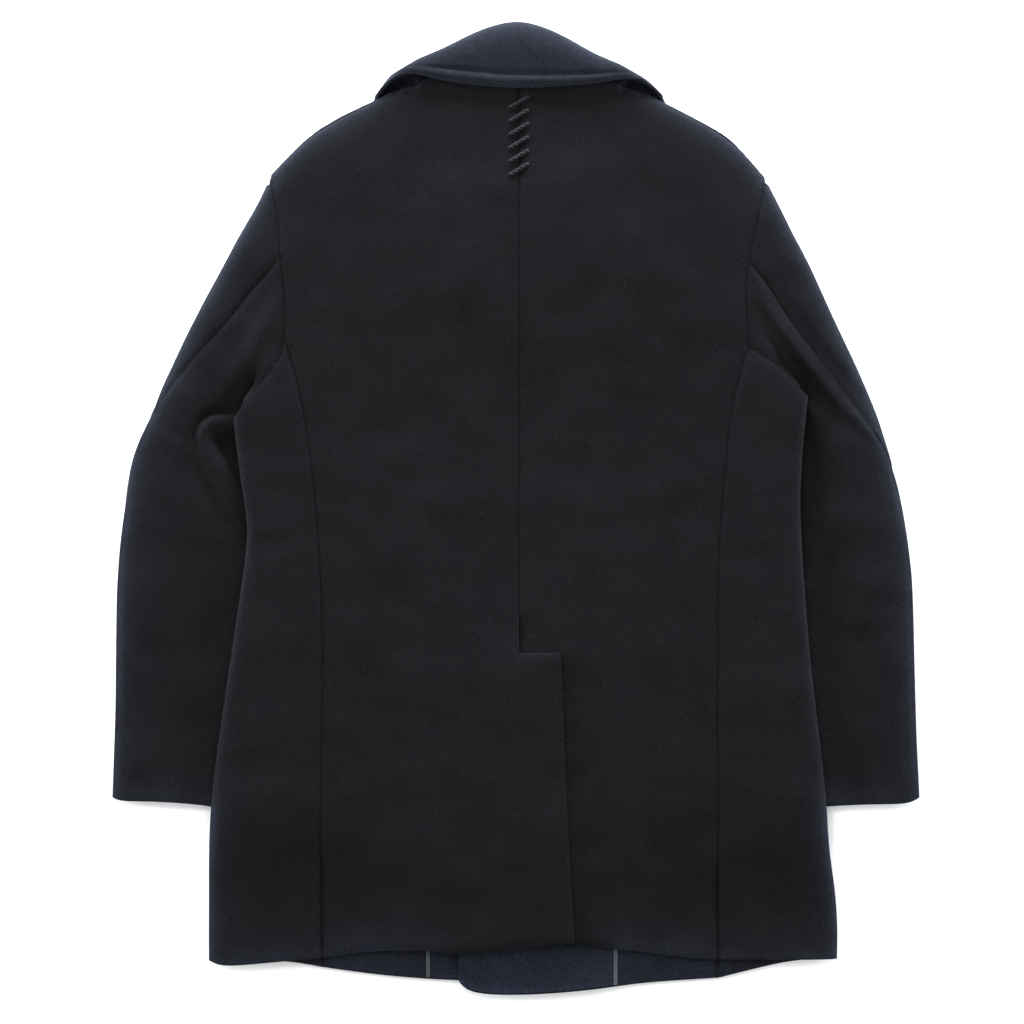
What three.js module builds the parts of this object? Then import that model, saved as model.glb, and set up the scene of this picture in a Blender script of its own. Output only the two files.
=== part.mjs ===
// A double-breasted pea coat laid flat on its front, back up.
// Millimetres. +X is the wearer's right, +Y runs to the collar, +Z is up from the surface it lies on.
// Tables give one side in outward X; each piece is then set on its own side of the centre-back seam.
import * as THREE from 'three';

const CLOTH = 2.8; // thickness of the wool melton
const SEAM = 0.3; // gap between pieces sewn or laid together
const FRONT_LEVEL = 5.4; // height of the fronts over the surface, held up by the buttons
const SLEEVE_TUCK = 7.0; // thickness of the sleeve where it is tucked under the body
const BODY_OVER_SLEEVE = 2.2; // further rise of the body's sides over the tucked sleeves
const OVERLAP = 57; // each front edge passes the centre by this much
const LAP = CLOTH + 2 * SEAM; // one cloth laid on another, with a little air
const FACING = 1.2; // thickness of the facings
const TAPE = 1.6; // thickness of the tape that binds a facing
const EASE = 1.2; // air between the back and what lies under it
const SIDE_EASE = 2.4; // further air along the side folds
const SHOULDER_EASE = 5.5; // further air in the shoulders
const BREAK_Y = 600; // where the lapels turn out of the front edge
const NECK_X = 97.5; // side of the neck
const NECK_Y = 800; // back neck seam
const SHOULDER_ROUND = 26; // width of the rounding along the shoulder
const SIDE_ROUND = 0.19; // width of the rounding at the side fold, as a share of the side panel
const SLEEVE_ROUND = 26; // width of the rounding at the outer edge of the sleeve
const TUCK_ROUND = 12; // the same at the inner edge
const VENT_TOP = 270.5; // top of the vent
const VENT_UNDER = 12; // how far the right panel runs under the left one
const BUTTON_RADIUS = 14.5;
const BUTTON_X = 38; // half the distance between the two button columns
const BUTTON_ROWS = [320, 440, 560]; // height of each pair of buttons
const BODY_ROWS = 15; // rows of the panels up to the armhole
const FOLD_STEPS = 3; // steps round a quarter of a fold
const SLEEVE_ROWS = 21;
const SLEEVE_LEVEL = 12.8; // thickness of the free part of the sleeve
const CUFF_LEVEL = 9.1; // the same at the cuff
const SLEEVE_STEP = 30; // width of the sleeve's flat columns
const SLEEVE_WIDTH = 180;
const SLEEVE_LENGTH = 600; // along its outer edge
const TUCK_PACE = 1.8; // the rows crowd together at the underarm, by this power
const ARMHOLE_LENGTH = 155; // from the shoulder to the long seam
const ARMHOLE_SHARE = 0.65; // the same as a share of the armhole's whole length on one face
const ELBOW_AT_ARMHOLE = 0.5; // where the elbow seam meets the armhole, down from the shoulder
const SHOULDER_SHARE = 0.62; // shoulder as a share of the back's top edge
const NECK_DROP = 4.5; // the side of the neck lies this much below its centre
const HEM_CENTRE_Y = -0.9; // hem of the back at its centre
const HEM_RISE = 4.6; // rise of the vent's hem from the centre to its edge
const VENT_ROW = 7; // row at the top of the vent
const BACK_COLUMNS = 9;
const SEAM_INSET = 0.0008; // half a seam's gap as a share of a back's width
const TAPE_WIDTH = 0.015; // width of the tape as a share of a front's width
const TAPE_GAP = 0.00125; // gap between the facing and its tape, likewise
const EDGE_INSET = 0.008; // the facing stops this share short of the front edge
const FACING_HEM = 0.0012; // and this share above the hem
const FACING_COLUMN = 4; // first column of a front that the facing covers
const LAPEL_COLUMNS = 3;
const LAPEL_INSET = 0.5; // from the roll line
const LAPEL_EASE = 0.9; // air between a lapel and its front
const COLLAR_ROWS = 30;
const STAND_ROWS = 12;
const BUTTON_SIDES = 14;
// Spans over which one level passes into another: in y, and in outward x where named so.
const LEAVES_SURFACE = [45, 112]; // the fronts rise from the surface above their hem
const SLEEVE_UNDER_X = [160, 198]; // the tucked sleeves begin, in outward x
const UNDERARM_Y = [500, 590]; // the tucked sleeves end
const FACING_END = [66, 120]; // the parts of the facings that are modelled end
const LAP_X = [61, 112]; // the right front comes down beside the left one
const LAP_END = [690, 760]; // the fronts part towards the neck
const SIDE_X = [150, 215]; // the side folds begin, in outward x
const SIDE_END = [500, 600]; // and end at the armhole
const SHOULDER_Y = [470, 640]; // the shoulders begin
const PILE_LEFT = [-62, 61]; // the two fronts lie on each other
const LEFT_FACING_X = [-92, 61];
const RIGHT_FACING_X = [-62, 99];
const PILE_RAMP = 52;
const VENT_LAP_X = -70; // the vent's flap starts to rise here
const VENT_LAP_END = 45; // and its rise ends this far above the vent
const SLEEVE_CLEAR = [2, 36]; // distance from the body in which the sleeve reaches its free thickness
const SLEEVE_THINS = [0.45, 1]; // share of its length in which it thins to the cuff
const SLEEVE_FREE = 0.12; // share of its length in which it leaves the armhole's form
const HEIGHT_FREE = 0.14; // and the body's height
const ARMHOLE_FADE = 0.4; // the armhole's curve fades out over this share, by the next power
const ARMHOLE_POWER = 2.3;
const CUFF_FADE = 0.15; // the cuff's curve fades in over this last share
const FRONT_SEAM_AT_CUFF = 0.8; // the sleeve's front seam, from its outer fold
const SHOULDER_BLEND = 0.12; // the fold along the shoulder ends over this share of the top edge
// Columns of the fronts as shares of their width, closer together where the facing ends.
const LEFT_FRONT_COLUMNS = [0.0008, 0.13, 0.26, 0.36, 0.422, 0.52, 0.64, 0.76, 0.88, 1];
const RIGHT_FRONT_COLUMNS = [0.0008, 0.13, 0.26, 0.34, 0.394, 0.45, 0.51, 0.62, 0.74, 0.87, 0.94, 0.98, 1];

// Outline of each side, from the armhole's shoulder end outward. Columns: x outward, y.
const SIDES = {
  left: {
    sign: -1,
    outer: [[228.2, 710.2], [241, 681.7], [258.5, 655], [272.3, 627.4], [295.3, 586], [322, 530.8],
      [340.4, 489.4], [355.1, 457.2], [366.2, 392.8], [370.8, 337.6], [372.6, 208.8], [375.4, 137.1]],
    armhole: [[228.2, 710.2], [226.3, 694.6], [222.6, 676.2], [219.9, 652.3], [218, 627.4], [215.5, 600], [215.7, 559.4]],
    underarm: [[215.7, 559.4], [219.9, 538], [233.7, 522.6], [249.3, 506], [263.1, 484.8]],
    seam: [[182.2, -11], [183.1, 107.6], [181.2, 272.3], [184.9, 374.4], [191.4, 443.4], [202.4, 513.4], [215.7, 559.4]],
    fold: [[286.1, -13.5], [286.1, 43.2], [283.7, 127.9], [267.7, 249.3], [253, 347.8], [248.6, 386.4], [253.5, 412.2],
      [263.1, 484.8]],
    shoulder: [[228.2, 710.2], [196.9, 742.4], [170.2, 760.8], [143.5, 773.7], [97.5, 795.8]],
    backHem: [[286.1, -13.5], [273.2, -18], [253.9, -17.3], [217.1, -13.8], [182.2, -11]],
    frontHem: [[286.1, -13.5], [250, -14], [217.1, -13.8], [182.2, -19.8]],
    tuck: [[263.1, 484.8], [265, 474], [263, 458], [250, 432], [228, 398], [212, 340], [209, 260], [212, 190], [215, 124]],
    cuff: [[375.4, 137.1], [369.8, 134.3], [325.7, 133.4], [303.6, 131.6], [285.2, 128], [215, 124]],
    elbow: [[0, 0.33], [0.07, 0.31], [0.14, 0.305], [0.216, 0.257], [0.288, 0.155], [0.342, 0.075], [0.381, 0.03],
      [0.43, -0.01], [0.6, -0.06], [1, -0.08]],
  },
  right: {
    sign: 1,
    outer: [[226.3, 707.5], [243.8, 674.4], [253.9, 655], [268.6, 627.4], [287, 586], [312.8, 530.8], [330.3, 489.4],
      [341.3, 457.2], [356, 392.8], [363.4, 337.6], [367.1, 190.4], [369.8, 137.1]],
    armhole: [[226.3, 707.5], [220.8, 679], [216.2, 656.9], [211.6, 634.8], [208.4, 611.8], [207.6, 592], [211.2, 551.1]],
    underarm: [[211.2, 551.1], [227.2, 541.4], [238.3, 533.6], [249.3, 524.9], [265.9, 506]],
    seam: [[184, -12], [183.4, 107.6], [183.1, 260.4], [184.6, 374.4], [190.4, 443.4], [198.7, 513.4], [211.2, 551.1]],
    fold: [[293.5, -12], [293.5, 43.2], [286.1, 80], [283.4, 129.7], [268.6, 260.4], [262.2, 338.6], [258.5, 415],
      [262.2, 470.1], [265.9, 506]],
    shoulder: [[226.3, 707.5], [195, 742.4], [164.7, 760.8], [139.8, 773.7], [97.5, 794.5]],
    backHem: [[293.5, -12], [255.8, -12.4], [184, -12]],
    frontHem: [[293.5, -12], [255.8, -12.9], [230, -18.4], [200.6, -25.8], [184, -29.9]],
    tuck: [[265.9, 506], [268, 494], [267, 476], [256, 446], [234, 408], [216, 345], [210, 262], [211, 190], [213, 124]],
    cuff: [[369.8, 137.1], [360, 131.9], [311.9, 131.1], [283.4, 128.2], [213, 124]],
    elbow: [[0, 0.34], [0.05, 0.37], [0.1, 0.395], [0.145, 0.415], [0.2, 0.4], [0.254, 0.355], [0.34, 0.235],
      [0.403, 0.12], [0.457, 0.03], [0.52, -0.03], [1, -0.08]],
  },
};

// Hems from a long seam to the centre or the front edge. Columns: x, y on the coat itself.
const LEFT_BACK_HEM = [[-182.2, -11], [-148.1, -6.1], [-109.5, -3.7], [-80, -4.1], [-50.6, -7.1], [-22.1, -3.7], [0, -0.9]];
const RIGHT_BACK_HEM = [[184, -12], [156.4, -11], [120.5, -6], [78.2, -1.4], [51.5, 1.8], [0, -0.9]];
const LEFT_FRONT_HEM = [[-182.2, -19.8], [-167.4, -22.1], [-128.8, -27.1], [-90.2, -30.4], [-57, -32.2], [57, -34]];
const RIGHT_FRONT_HEM = [[184, -29.9], [120.5, -34], [81, -38.6], [40.5, -42.9], [0.9, -45.1], [-38, -43.9], [-50, -39.5],
  [-57, -30]];
// Free edge of the vent's upper flap. Columns: x, y from the top down.
const VENT_EDGE = [[38.6, 270.5], [42.3, 171.1], [46, 92], [51.5, 3.7]];
// The collar's fall from the centre back to the front end, in outward x. Columns: turned-under end x y z,
// fold x y z, crown x y z, outer edge x y z.
const FALL = [
  [0, 840.2, 8.5, 0, 852.4, 14.5, 0, 830, 24, 0, 789, 21.6],
  [40, 830, 8.8, 40, 841.5, 15, 40, 822, 23.8, 41, 792, 22.2],
  [66, 817, 9.4, 70, 826, 16, 70, 812.5, 23.2, 71, 796, 22.6],
  [84, 807, 9.6, 93, 817, 16, 100, 810, 22, 108, 804, 22],
  [93, 801, 9.4, 101, 811, 12.5, 119, 802, 13.6, 130.5, 785.5, 13.2],
  [92.5, 800.5, 8, 100.5, 808.5, 9, 121, 799.5, 7.6, 132.8, 783.2, 7.4],
  [92, 800, 6.6, 100, 806, 5.6, 121, 796, 2.8, 133.4, 781.4, 2.6],
  [86, 790, 2.8, 90, 787.5, 1.6, 116, 771, 1.4, 148, 746, 1.4],
  [66.5, 761.5, 2.4, 70, 759, 1.4, 100, 745, 1.4, 138, 722, 1.4],
];
const COLLAR_TILT = 5; // the right half of the collar lies this much lower
// The collar's stand round the back of the neck. Columns: outward x, y and z at the fold, z at the neck seam.
const STAND = [[0, 839.6, 11.3, 17.6], [38, 829.8, 11.6, 17.2], [64, 817.2, 12.1, 16.8], [82, 807.5, 12.2, 16.2],
  [91, 801.5, 12.3, 15.6]];
// The lapels. Columns: share of the roll line, share of it beside the outer edge, distance of that edge.
const LEFT_LAPEL = [[0.03, 0.02, 5], [0.2, 0.14, 46], [0.42, 0.34, 78], [0.64, 0.6, 96], [0.79, 0.84, 86]];
const RIGHT_LAPEL = [[0.5, 0.49, 5], [0.57, 0.52, 44], [0.64, 0.56, 74], [0.72, 0.66, 94], [0.79, 0.84, 86]];

const wool = { color: 0x1b1b1f, roughness: 0.95, metalness: 0 };
const finishes = {
  wool: new THREE.MeshStandardMaterial(wool),
  underside: new THREE.MeshStandardMaterial({ ...wool, color: 0x1d1d22 }),
  tape: new THREE.MeshStandardMaterial({ color: 0x5a646e, roughness: 0.85, metalness: 0 }),
  button: new THREE.MeshStandardMaterial({ color: 0x121214, roughness: 0.4, metalness: 0 }),
};

const { lerp, clamp, smoothstep } = THREE.MathUtils;
const coat = new THREE.Group();

// A smooth line through a table, measured by its share of the length.
function smoothLine(table, sign = 1) {
  const points = table.map(([x, y, z = 0]) => new THREE.Vector3(sign * x, y, z));
  const line = new THREE.CatmullRomCurve3(points, false, 'centripetal');
  line.arcLengthDivisions = 400;
  return (share) => line.getPointAt(clamp(share, 0, 1));
}

// Value read from a two-column table.
function readTable(table, at) {
  let row = 1;
  while (row < table.length - 1 && table[row][0] < at) row += 1;
  const [[from, low], [to, high]] = [table[row - 1], table[row]];
  return lerp(low, high, clamp((at - from) / (to - from), 0, 1));
}

// A patch stretched between four edges that share their corners.
function patch(left, right, bottom, top) {
  return (u, v) => {
    const blend = (a, b, t) => a.clone().lerp(b, t);
    const across = blend(left(v), right(v), u);
    const along = blend(bottom(u), top(u), v);
    const corners = blend(blend(left(0), right(0), u), blend(left(1), right(1), u), v);
    return across.add(along).sub(corners);
  };
}

// 1 inside a span of x, falling to 0 over a ramp on either side.
function plateau(x, low, high, ramp) {
  return smoothstep(x, low - ramp, low) * (1 - smoothstep(x, high, high + ramp));
}

// Outer face of the fronts: flat on the surface at the hem, carried by buttons and sleeves above it.
function underHeight(x, y) {
  const above = smoothstep(y, ...LEAVES_SURFACE);
  const overSleeve = smoothstep(Math.abs(x), ...SLEEVE_UNDER_X) * (1 - smoothstep(y, ...UNDERARM_Y));
  return above * (FRONT_LEVEL + BODY_OVER_SLEEVE * overSleeve);
}

// How far the right front is lifted where it lies over the left one.
function frontLift(x, y) {
  const facing = (FACING + SEAM) * (1 - smoothstep(y, ...FACING_END));
  return (LAP + facing) * (1 - smoothstep(x, ...LAP_X)) * (1 - smoothstep(y, ...LAP_END));
}

// Height of all that is piled on the inside of the fronts.
function pile(x, y) {
  const atHem = 1 - smoothstep(y, ...FACING_END);
  const fronts = LAP * plateau(x, ...PILE_LEFT, PILE_RAMP) * (1 - smoothstep(y, ...LAP_END));
  const leftFacing = (TAPE + SEAM) * plateau(x, ...LEFT_FACING_X, PILE_RAMP);
  const rightFacing = (TAPE + SEAM) * plateau(x, ...RIGHT_FACING_X, PILE_RAMP);
  return fronts + atHem * (leftFacing + rightFacing);
}

// Outer face of the back.
function topHeight(x, y) {
  const out = Math.abs(x);
  const side = SIDE_EASE * smoothstep(out, ...SIDE_X) * (1 - smoothstep(y, ...SIDE_END));
  const shoulder = SHOULDER_EASE * smoothstep(y, ...SHOULDER_Y);
  return underHeight(x, y) + 2 * CLOTH + pile(x, y) + EASE + side + shoulder;
}

// Rise of the vent's upper flap over the lower one.
function ventRise(x, y) {
  const across = smoothstep(x, VENT_LAP_X, -VENT_UNDER - 3);
  return LAP * across * (1 - smoothstep(y, VENT_TOP - 1, VENT_TOP + VENT_LAP_END));
}

// Share of the full height reached at a distance from a folded edge.
function roundness(distance, width) {
  const s = clamp(distance / width, 0, 1);
  return Math.sqrt(1 - (1 - s) ** 2);
}

// Distances from a folded edge, close together where it turns.
function foldDistances(width) {
  return Array.from({ length: FOLD_STEPS + 1 }, (_, k) => width * (1 - Math.cos((k / FOLD_STEPS) * (Math.PI / 2))));
}

// Height on one face of a folded piece. side is 1 on top and -1 underneath, depth 0 outside and 1 inside.
function foldedHeight(low, high, side, turn, depth) {
  const middle = (low + high) / 2;
  const half = (high - low) / 2 - depth * CLOTH;
  return middle + side * half * turn;
}

// Adds a closed mesh, its faces turned outward.
function addPiece(name, points, faces, finish) {
  let volume = 0;
  for (const [a, b, c] of faces) volume += points[a].dot(points[b].clone().cross(points[c]));
  const wound = volume > 0 ? faces : faces.map(([a, b, c]) => [a, c, b]);
  const geometry = new THREE.BufferGeometry();
  geometry.setAttribute('position', new THREE.Float32BufferAttribute(points.flatMap((p) => [p.x, p.y, p.z]), 3));
  geometry.setIndex(wound.flat());
  geometry.computeVertexNormals();
  const piece = new THREE.Mesh(geometry, finishes[finish]);
  piece.name = name;
  coat.add(piece);
}

// A cloth wall between an outer and an inner sheet of points; has(row, column) says which cells are cloth.
function addWall(name, outer, inner, finish = 'wool', has = () => true) {
  const rows = outer.length - 1;
  const columns = outer[0].length - 1;
  const cloth = (r, c) => r >= 0 && c >= 0 && r < rows && c < columns && has(r, c);
  const points = [];
  const numbers = new Map();
  const corner = (sheet, layer, r, c) => {
    const key = `${layer} ${r} ${c}`;
    if (!numbers.has(key)) numbers.set(key, points.push(sheet[r][c]) - 1);
    return numbers.get(key);
  };
  const out = (r, c) => corner(outer, 'out', r, c);
  const back = (r, c) => corner(inner, 'in', r, c);
  const faces = [];
  const quad = (a, b, c, d) => faces.push([a, b, c], [a, c, d]);
  for (let r = 0; r < rows; r += 1) {
    for (let c = 0; c < columns; c += 1) {
      if (!cloth(r, c)) continue;
      quad(out(r, c), out(r, c + 1), out(r + 1, c + 1), out(r + 1, c));
      quad(back(r, c), back(r + 1, c), back(r + 1, c + 1), back(r, c + 1));
      if (!cloth(r - 1, c)) quad(out(r, c + 1), out(r, c), back(r, c), back(r, c + 1));
      if (!cloth(r + 1, c)) quad(out(r + 1, c), out(r + 1, c + 1), back(r + 1, c + 1), back(r + 1, c));
      if (!cloth(r, c - 1)) quad(out(r, c), out(r + 1, c), back(r + 1, c), back(r, c));
      if (!cloth(r, c + 1)) quad(out(r + 1, c + 1), out(r, c + 1), back(r, c + 1), back(r + 1, c + 1));
    }
  }
  addPiece(name, points, faces, finish);
}

const grid = (rows, columns, point) => rows.map((r, i) => columns.map((c, j) => point(r, c, i, j)));
const steps = (from, to, count) => Array.from({ length: count + 1 }, (_, k) => lerp(from, to, k / count));

// Lines of one side, each a function of its share of the length.
function sideLines({ sign, elbow, ...tables }) {
  const line = Object.fromEntries(Object.entries(tables).map(([name, table]) => [name, smoothLine(table, sign)]));
  // The front's hem hangs a little lower at the long seam than the back's.
  const drop = line.frontHem(1).y - line.seam(0).y;
  const frontSeam = (v) => line.seam(v).add(new THREE.Vector3(0, drop * Math.max(0, 1 - v * BODY_ROWS), 0));
  return { ...line, frontSeam };
}

// Rows shared by the back, the fronts and the armholes: up the long seam, then up the armhole to the shoulder.
const seamRows = steps(0, 1, BODY_ROWS);
const shoulderTurn = foldDistances(SHOULDER_ROUND).map((d) => d / ARMHOLE_LENGTH);
const armholeShares = [1, 0.8, 0.6, ELBOW_AT_ARMHOLE, 0.28, ...shoulderTurn.slice().reverse()];
const bodyRows = [...seamRows.map((v) => v / 2), ...armholeShares.slice(1).map((share) => 1 - share / 2)];
// Columns of the side panels, from the fold to the long seam.
const sideShares = [...foldDistances(SIDE_ROUND), 0.45, 0.72, 1];

// Outer (depth 0) or inner (depth 1) sheet of a back or a front, from its long seam to its centre edge.
// facing is 1 for a back and -1 for a front; level(x, y) is its outer face.
function bodySheet(shape, columns, shoulderShare, facing, level, depth) {
  return grid(bodyRows, columns, (v, u, i) => {
    const step = Math.min(FOLD_STEPS, bodyRows.length - 1 - i);
    const angle = (step / FOLD_STEPS) * (Math.PI / 2);
    const folded = 1 - smoothstep(u, shoulderShare - SHOULDER_BLEND, shoulderShare);
    const reach = 2 * shape(u, 0.5).distanceTo(shape(u, 1));
    const pushed = depth * folded * CLOTH * Math.cos(angle);
    const atNeck = step === 0 ? (1 - folded) * (SEAM / 2) : 0;
    const point = shape(u, v - (pushed + atNeck) / reach);
    const low = facing > 0 ? underHeight(point.x, point.y) : level(point.x, point.y);
    const high = facing > 0 ? level(point.x, point.y) : topHeight(point.x, point.y);
    const flat = level(point.x, point.y) - facing * depth * CLOTH;
    const parted = step === 0 ? facing * (SEAM / 2) : 0;
    point.z = lerp(flat, foldedHeight(low, high, facing, Math.sin(angle), depth) + parted, folded);
    return point;
  });
}

// The line up a body panel's long seam and armhole, as in bodyRows.
const seamSide = (line, seam) => (v) => (v <= 0.5 ? seam(v * 2) : line.armhole(2 - v * 2));

// A straight line between two points.
function straight(from, to) {
  const [a, b] = [new THREE.Vector3(...from, 0), new THREE.Vector3(...to, 0)];
  return (share) => a.clone().lerp(b, share);
}

// Up the centre back, with a row at the top of the vent.
const ventShare = VENT_ROW / BODY_ROWS / 2;
const centreBack = (v) => {
  if (v <= ventShare) return new THREE.Vector3(0, lerp(HEM_CENTRE_Y, VENT_TOP, v / ventShare), 0);
  if (v <= 0.5) return new THREE.Vector3(0, lerp(VENT_TOP, BREAK_Y, (v - ventShare) / (0.5 - ventShare)), 0);
  return new THREE.Vector3(0, lerp(BREAK_Y, NECK_Y, v * 2 - 1), 0);
};
const neckSeamY = (x) => NECK_Y - NECK_DROP * (x / NECK_X) ** 2;

// Along the shoulder and the back neck, to the centre.
function backTop(line, sign) {
  return (u) => {
    if (u <= SHOULDER_SHARE) return line.shoulder(u / SHOULDER_SHARE);
    const x = sign * NECK_X * (1 - (u - SHOULDER_SHARE) / (1 - SHOULDER_SHARE));
    return new THREE.Vector3(x, neckSeamY(x), 0);
  };
}

// The left back, with the vent's upper flap beyond the centre seam; the right back, with the flap below.
function addBack(name, line, sign, hem) {
  const shape = patch(seamSide(line, line.seam), centreBack, smoothLine(hem), backTop(line, sign));
  const flapEdge = smoothLine(VENT_EDGE);
  const columns = [SEAM_INSET, ...steps(0, 1, BACK_COLUMNS).slice(1, -1), 1];
  const upper = sign < 0;
  const level = (x, y) => topHeight(x, y) + (upper ? ventRise(x, y) : 0);
  const flapShares = upper ? [0.5, 1] : [1];
  const sheets = [0, 1].map((depth) => bodySheet(shape, columns, SHOULDER_SHARE, 1, level, depth).map((row, i) => {
    const centre = row[row.length - 1];
    const { y } = centre;
    const slot = (SEAM / 2) * (upper && i <= VENT_ROW ? 0 : 1);
    const reach = upper ? flapEdge(1 - bodyRows[Math.min(i, VENT_ROW)] / ventShare).x : -VENT_UNDER;
    centre.x = sign * slot;
    const flap = flapShares.map((share) => {
      const point = new THREE.Vector3(reach * share, y + (upper ? HEM_RISE * share * (1 - i / VENT_ROW) : 0), 0);
      point.z = level(point.x, y) - depth * CLOTH;
      return point;
    });
    return [...row, ...flap];
  }));
  const inFlap = (r, c) => c < columns.length - 1 || r < VENT_ROW;
  addWall(name, ...sheets, 'wool', inFlap);
}

// A front; returns its inner sheet and columns, on which the facing is laid.
function addFront(name, line, sign, hem, columns) {
  const edgeX = -sign * OVERLAP;
  const hemLine = smoothLine(hem);
  const edge = straight([edgeX, hemLine(1).y], [edgeX, BREAK_Y]);
  const roll = straight([edgeX, BREAK_Y], [sign * NECK_X, line.shoulder(1).y]);
  const centre = (v) => (v <= 0.5 ? edge(v * 2) : roll(v * 2 - 1));
  const shape = patch(seamSide(line, line.frontSeam), centre, hemLine, line.shoulder);
  const level = (x, y) => underHeight(x, y) + (sign > 0 ? frontLift(x, y) : 0);
  const [outer, inner] = [0, 1].map((depth) => bodySheet(shape, columns, 2, -1, level, depth));
  addWall(name, outer, inner);
  return { inner, columns, roll, level };
}

// Points on a sheet at given columns and rows, moved up.
function laidOn(front, shares, rows, rise) {
  return grid(rows, shares, (v, u) => {
    const { columns, inner } = front;
    const at = (list, value) => clamp(list.findIndex((item) => item > value) - 1, 0, list.length - 2);
    const c = value(columns, u, at);
    const r = value(bodyRows, v, at);
    const lower = inner[r.index][c.index].clone().lerp(inner[r.index][c.index + 1], c.part);
    const upper = inner[r.index + 1][c.index].clone().lerp(inner[r.index + 1][c.index + 1], c.part);
    const point = lower.lerp(upper, r.part);
    point.z += rise;
    return point;
  });
}

// Cell of a rising list that holds a value, and how far across it the value is.
function value(list, wanted, at) {
  const index = at(list, wanted);
  return { index, part: (wanted - list[index]) / (list[index + 1] - list[index]) };
}

// The facing and the tape bound round its edge, laid on the inside of a front near the hem.
function addFacing(side, front) {
  const { columns } = front;
  const facingColumns = columns.slice(FACING_COLUMN, -1);
  const rows = [FACING_HEM, bodyRows[1]];
  const edge = columns[columns.length - 1] - EDGE_INSET;
  const shares = [...facingColumns, edge];
  const tape = [facingColumns[0] - TAPE_GAP - TAPE_WIDTH, facingColumns[0] - TAPE_GAP];
  addWall(`facing_${side}`, laidOn(front, shares, rows, SEAM), laidOn(front, shares, rows, SEAM + FACING), 'underside');
  addWall(`tape_${side}`, laidOn(front, tape, rows, SEAM), laidOn(front, tape, rows, SEAM + TAPE), 'tape');
}

// A lapel turned back under its front along the roll line.
function addLapel(name, front, sign, table) {
  const along = front.roll(1).sub(front.roll(0)).normalize();
  const outward = new THREE.Vector3(sign * Math.abs(along.y), -Math.abs(along.x), 0);
  const sheet = (rise) => table.map(([rollShare, edgeShare, reach]) => steps(0, 1, LAPEL_COLUMNS).map((t) => {
    const from = front.roll(rollShare).addScaledVector(outward, LAPEL_INSET);
    const point = from.lerp(front.roll(edgeShare).addScaledVector(outward, reach), t);
    point.z = front.level(point.x, point.y) - LAPEL_EASE - rise;
    return point;
  }));
  addWall(name, sheet(CLOTH), sheet(0));
}

// A side panel, from the back's long seam round the side fold to the front's long seam beneath.
function addSide(name, line) {
  const underarm = (u) => line.underarm(1 - u);
  const above = patch(line.fold, line.seam, line.backHem, underarm);
  const below = patch(line.fold, line.frontSeam, line.frontHem, underarm);
  const positions = [...sideShares.slice(1).reverse(), ...sideShares.map((share) => -share)];
  const rows = [...seamRows.slice(0, -1), 1 - SEAM_INSET / 4];
  const sheet = (depth) => grid(rows, positions, (v, position) => {
    const share = Math.min(Math.abs(position), 1 - SEAM_INSET * 3);
    const width = line.fold(v).distanceTo(line.seam(v));
    const pushed = (depth * CLOTH * Math.max(0, 1 - share / SIDE_ROUND)) / width;
    const point = (position > 0 ? above : below)(share + pushed, v);
    const turn = roundness(share, SIDE_ROUND);
    const [low, high] = [underHeight(point.x, point.y), topHeight(point.x, point.y)];
    point.z = foldedHeight(low, high, position > 0 ? 1 : -1, turn, depth);
    return point;
  });
  addWall(name, sheet(0), sheet(1));
}

// Positions round a sleeve: 0 at its outer fold, 1 at its inner fold, negative and above 1 underneath.
const sharePosition = (share) => share * ARMHOLE_SHARE;
const onArmhole = [...shoulderTurn, 0.28, ELBOW_AT_ARMHOLE].map(sharePosition);
const onUnderarm = sideShares.map((share) => 1 - (1 - ARMHOLE_SHARE) * share);
const armholeUnder = [0.6, 0.8, 1].map(sharePosition);
const topStart = [...armholeUnder.slice().reverse(), ...onArmhole.slice().reverse().slice(0, -1)].map((p) => -p);
const topSleeveStart = [...topStart, ...onArmhole];
const aboveInner = onUnderarm.slice(0, -1).reverse();
const underSleeveStart = [onArmhole[onArmhole.length - 1], ...armholeUnder, ...aboveInner,
  ...onUnderarm.slice(1).map((p) => 2 - p)];

// Spreads positions evenly over a row of the sleeve, closer together where it turns.
function spread(from, to, count, density) {
  const fine = steps(from, to, 300);
  const sums = [0];
  fine.slice(1).forEach((p, k) => sums.push(sums[k] + density((p + fine[k]) / 2) * (p - fine[k])));
  const total = sums[sums.length - 1];
  return steps(0, total, count).map((wanted) => {
    const k = clamp(sums.findIndex((sum) => sum >= wanted), 1, fine.length - 1);
    return lerp(fine[k - 1], fine[k], (wanted - sums[k - 1]) / (sums[k] - sums[k - 1]));
  });
}

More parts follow.
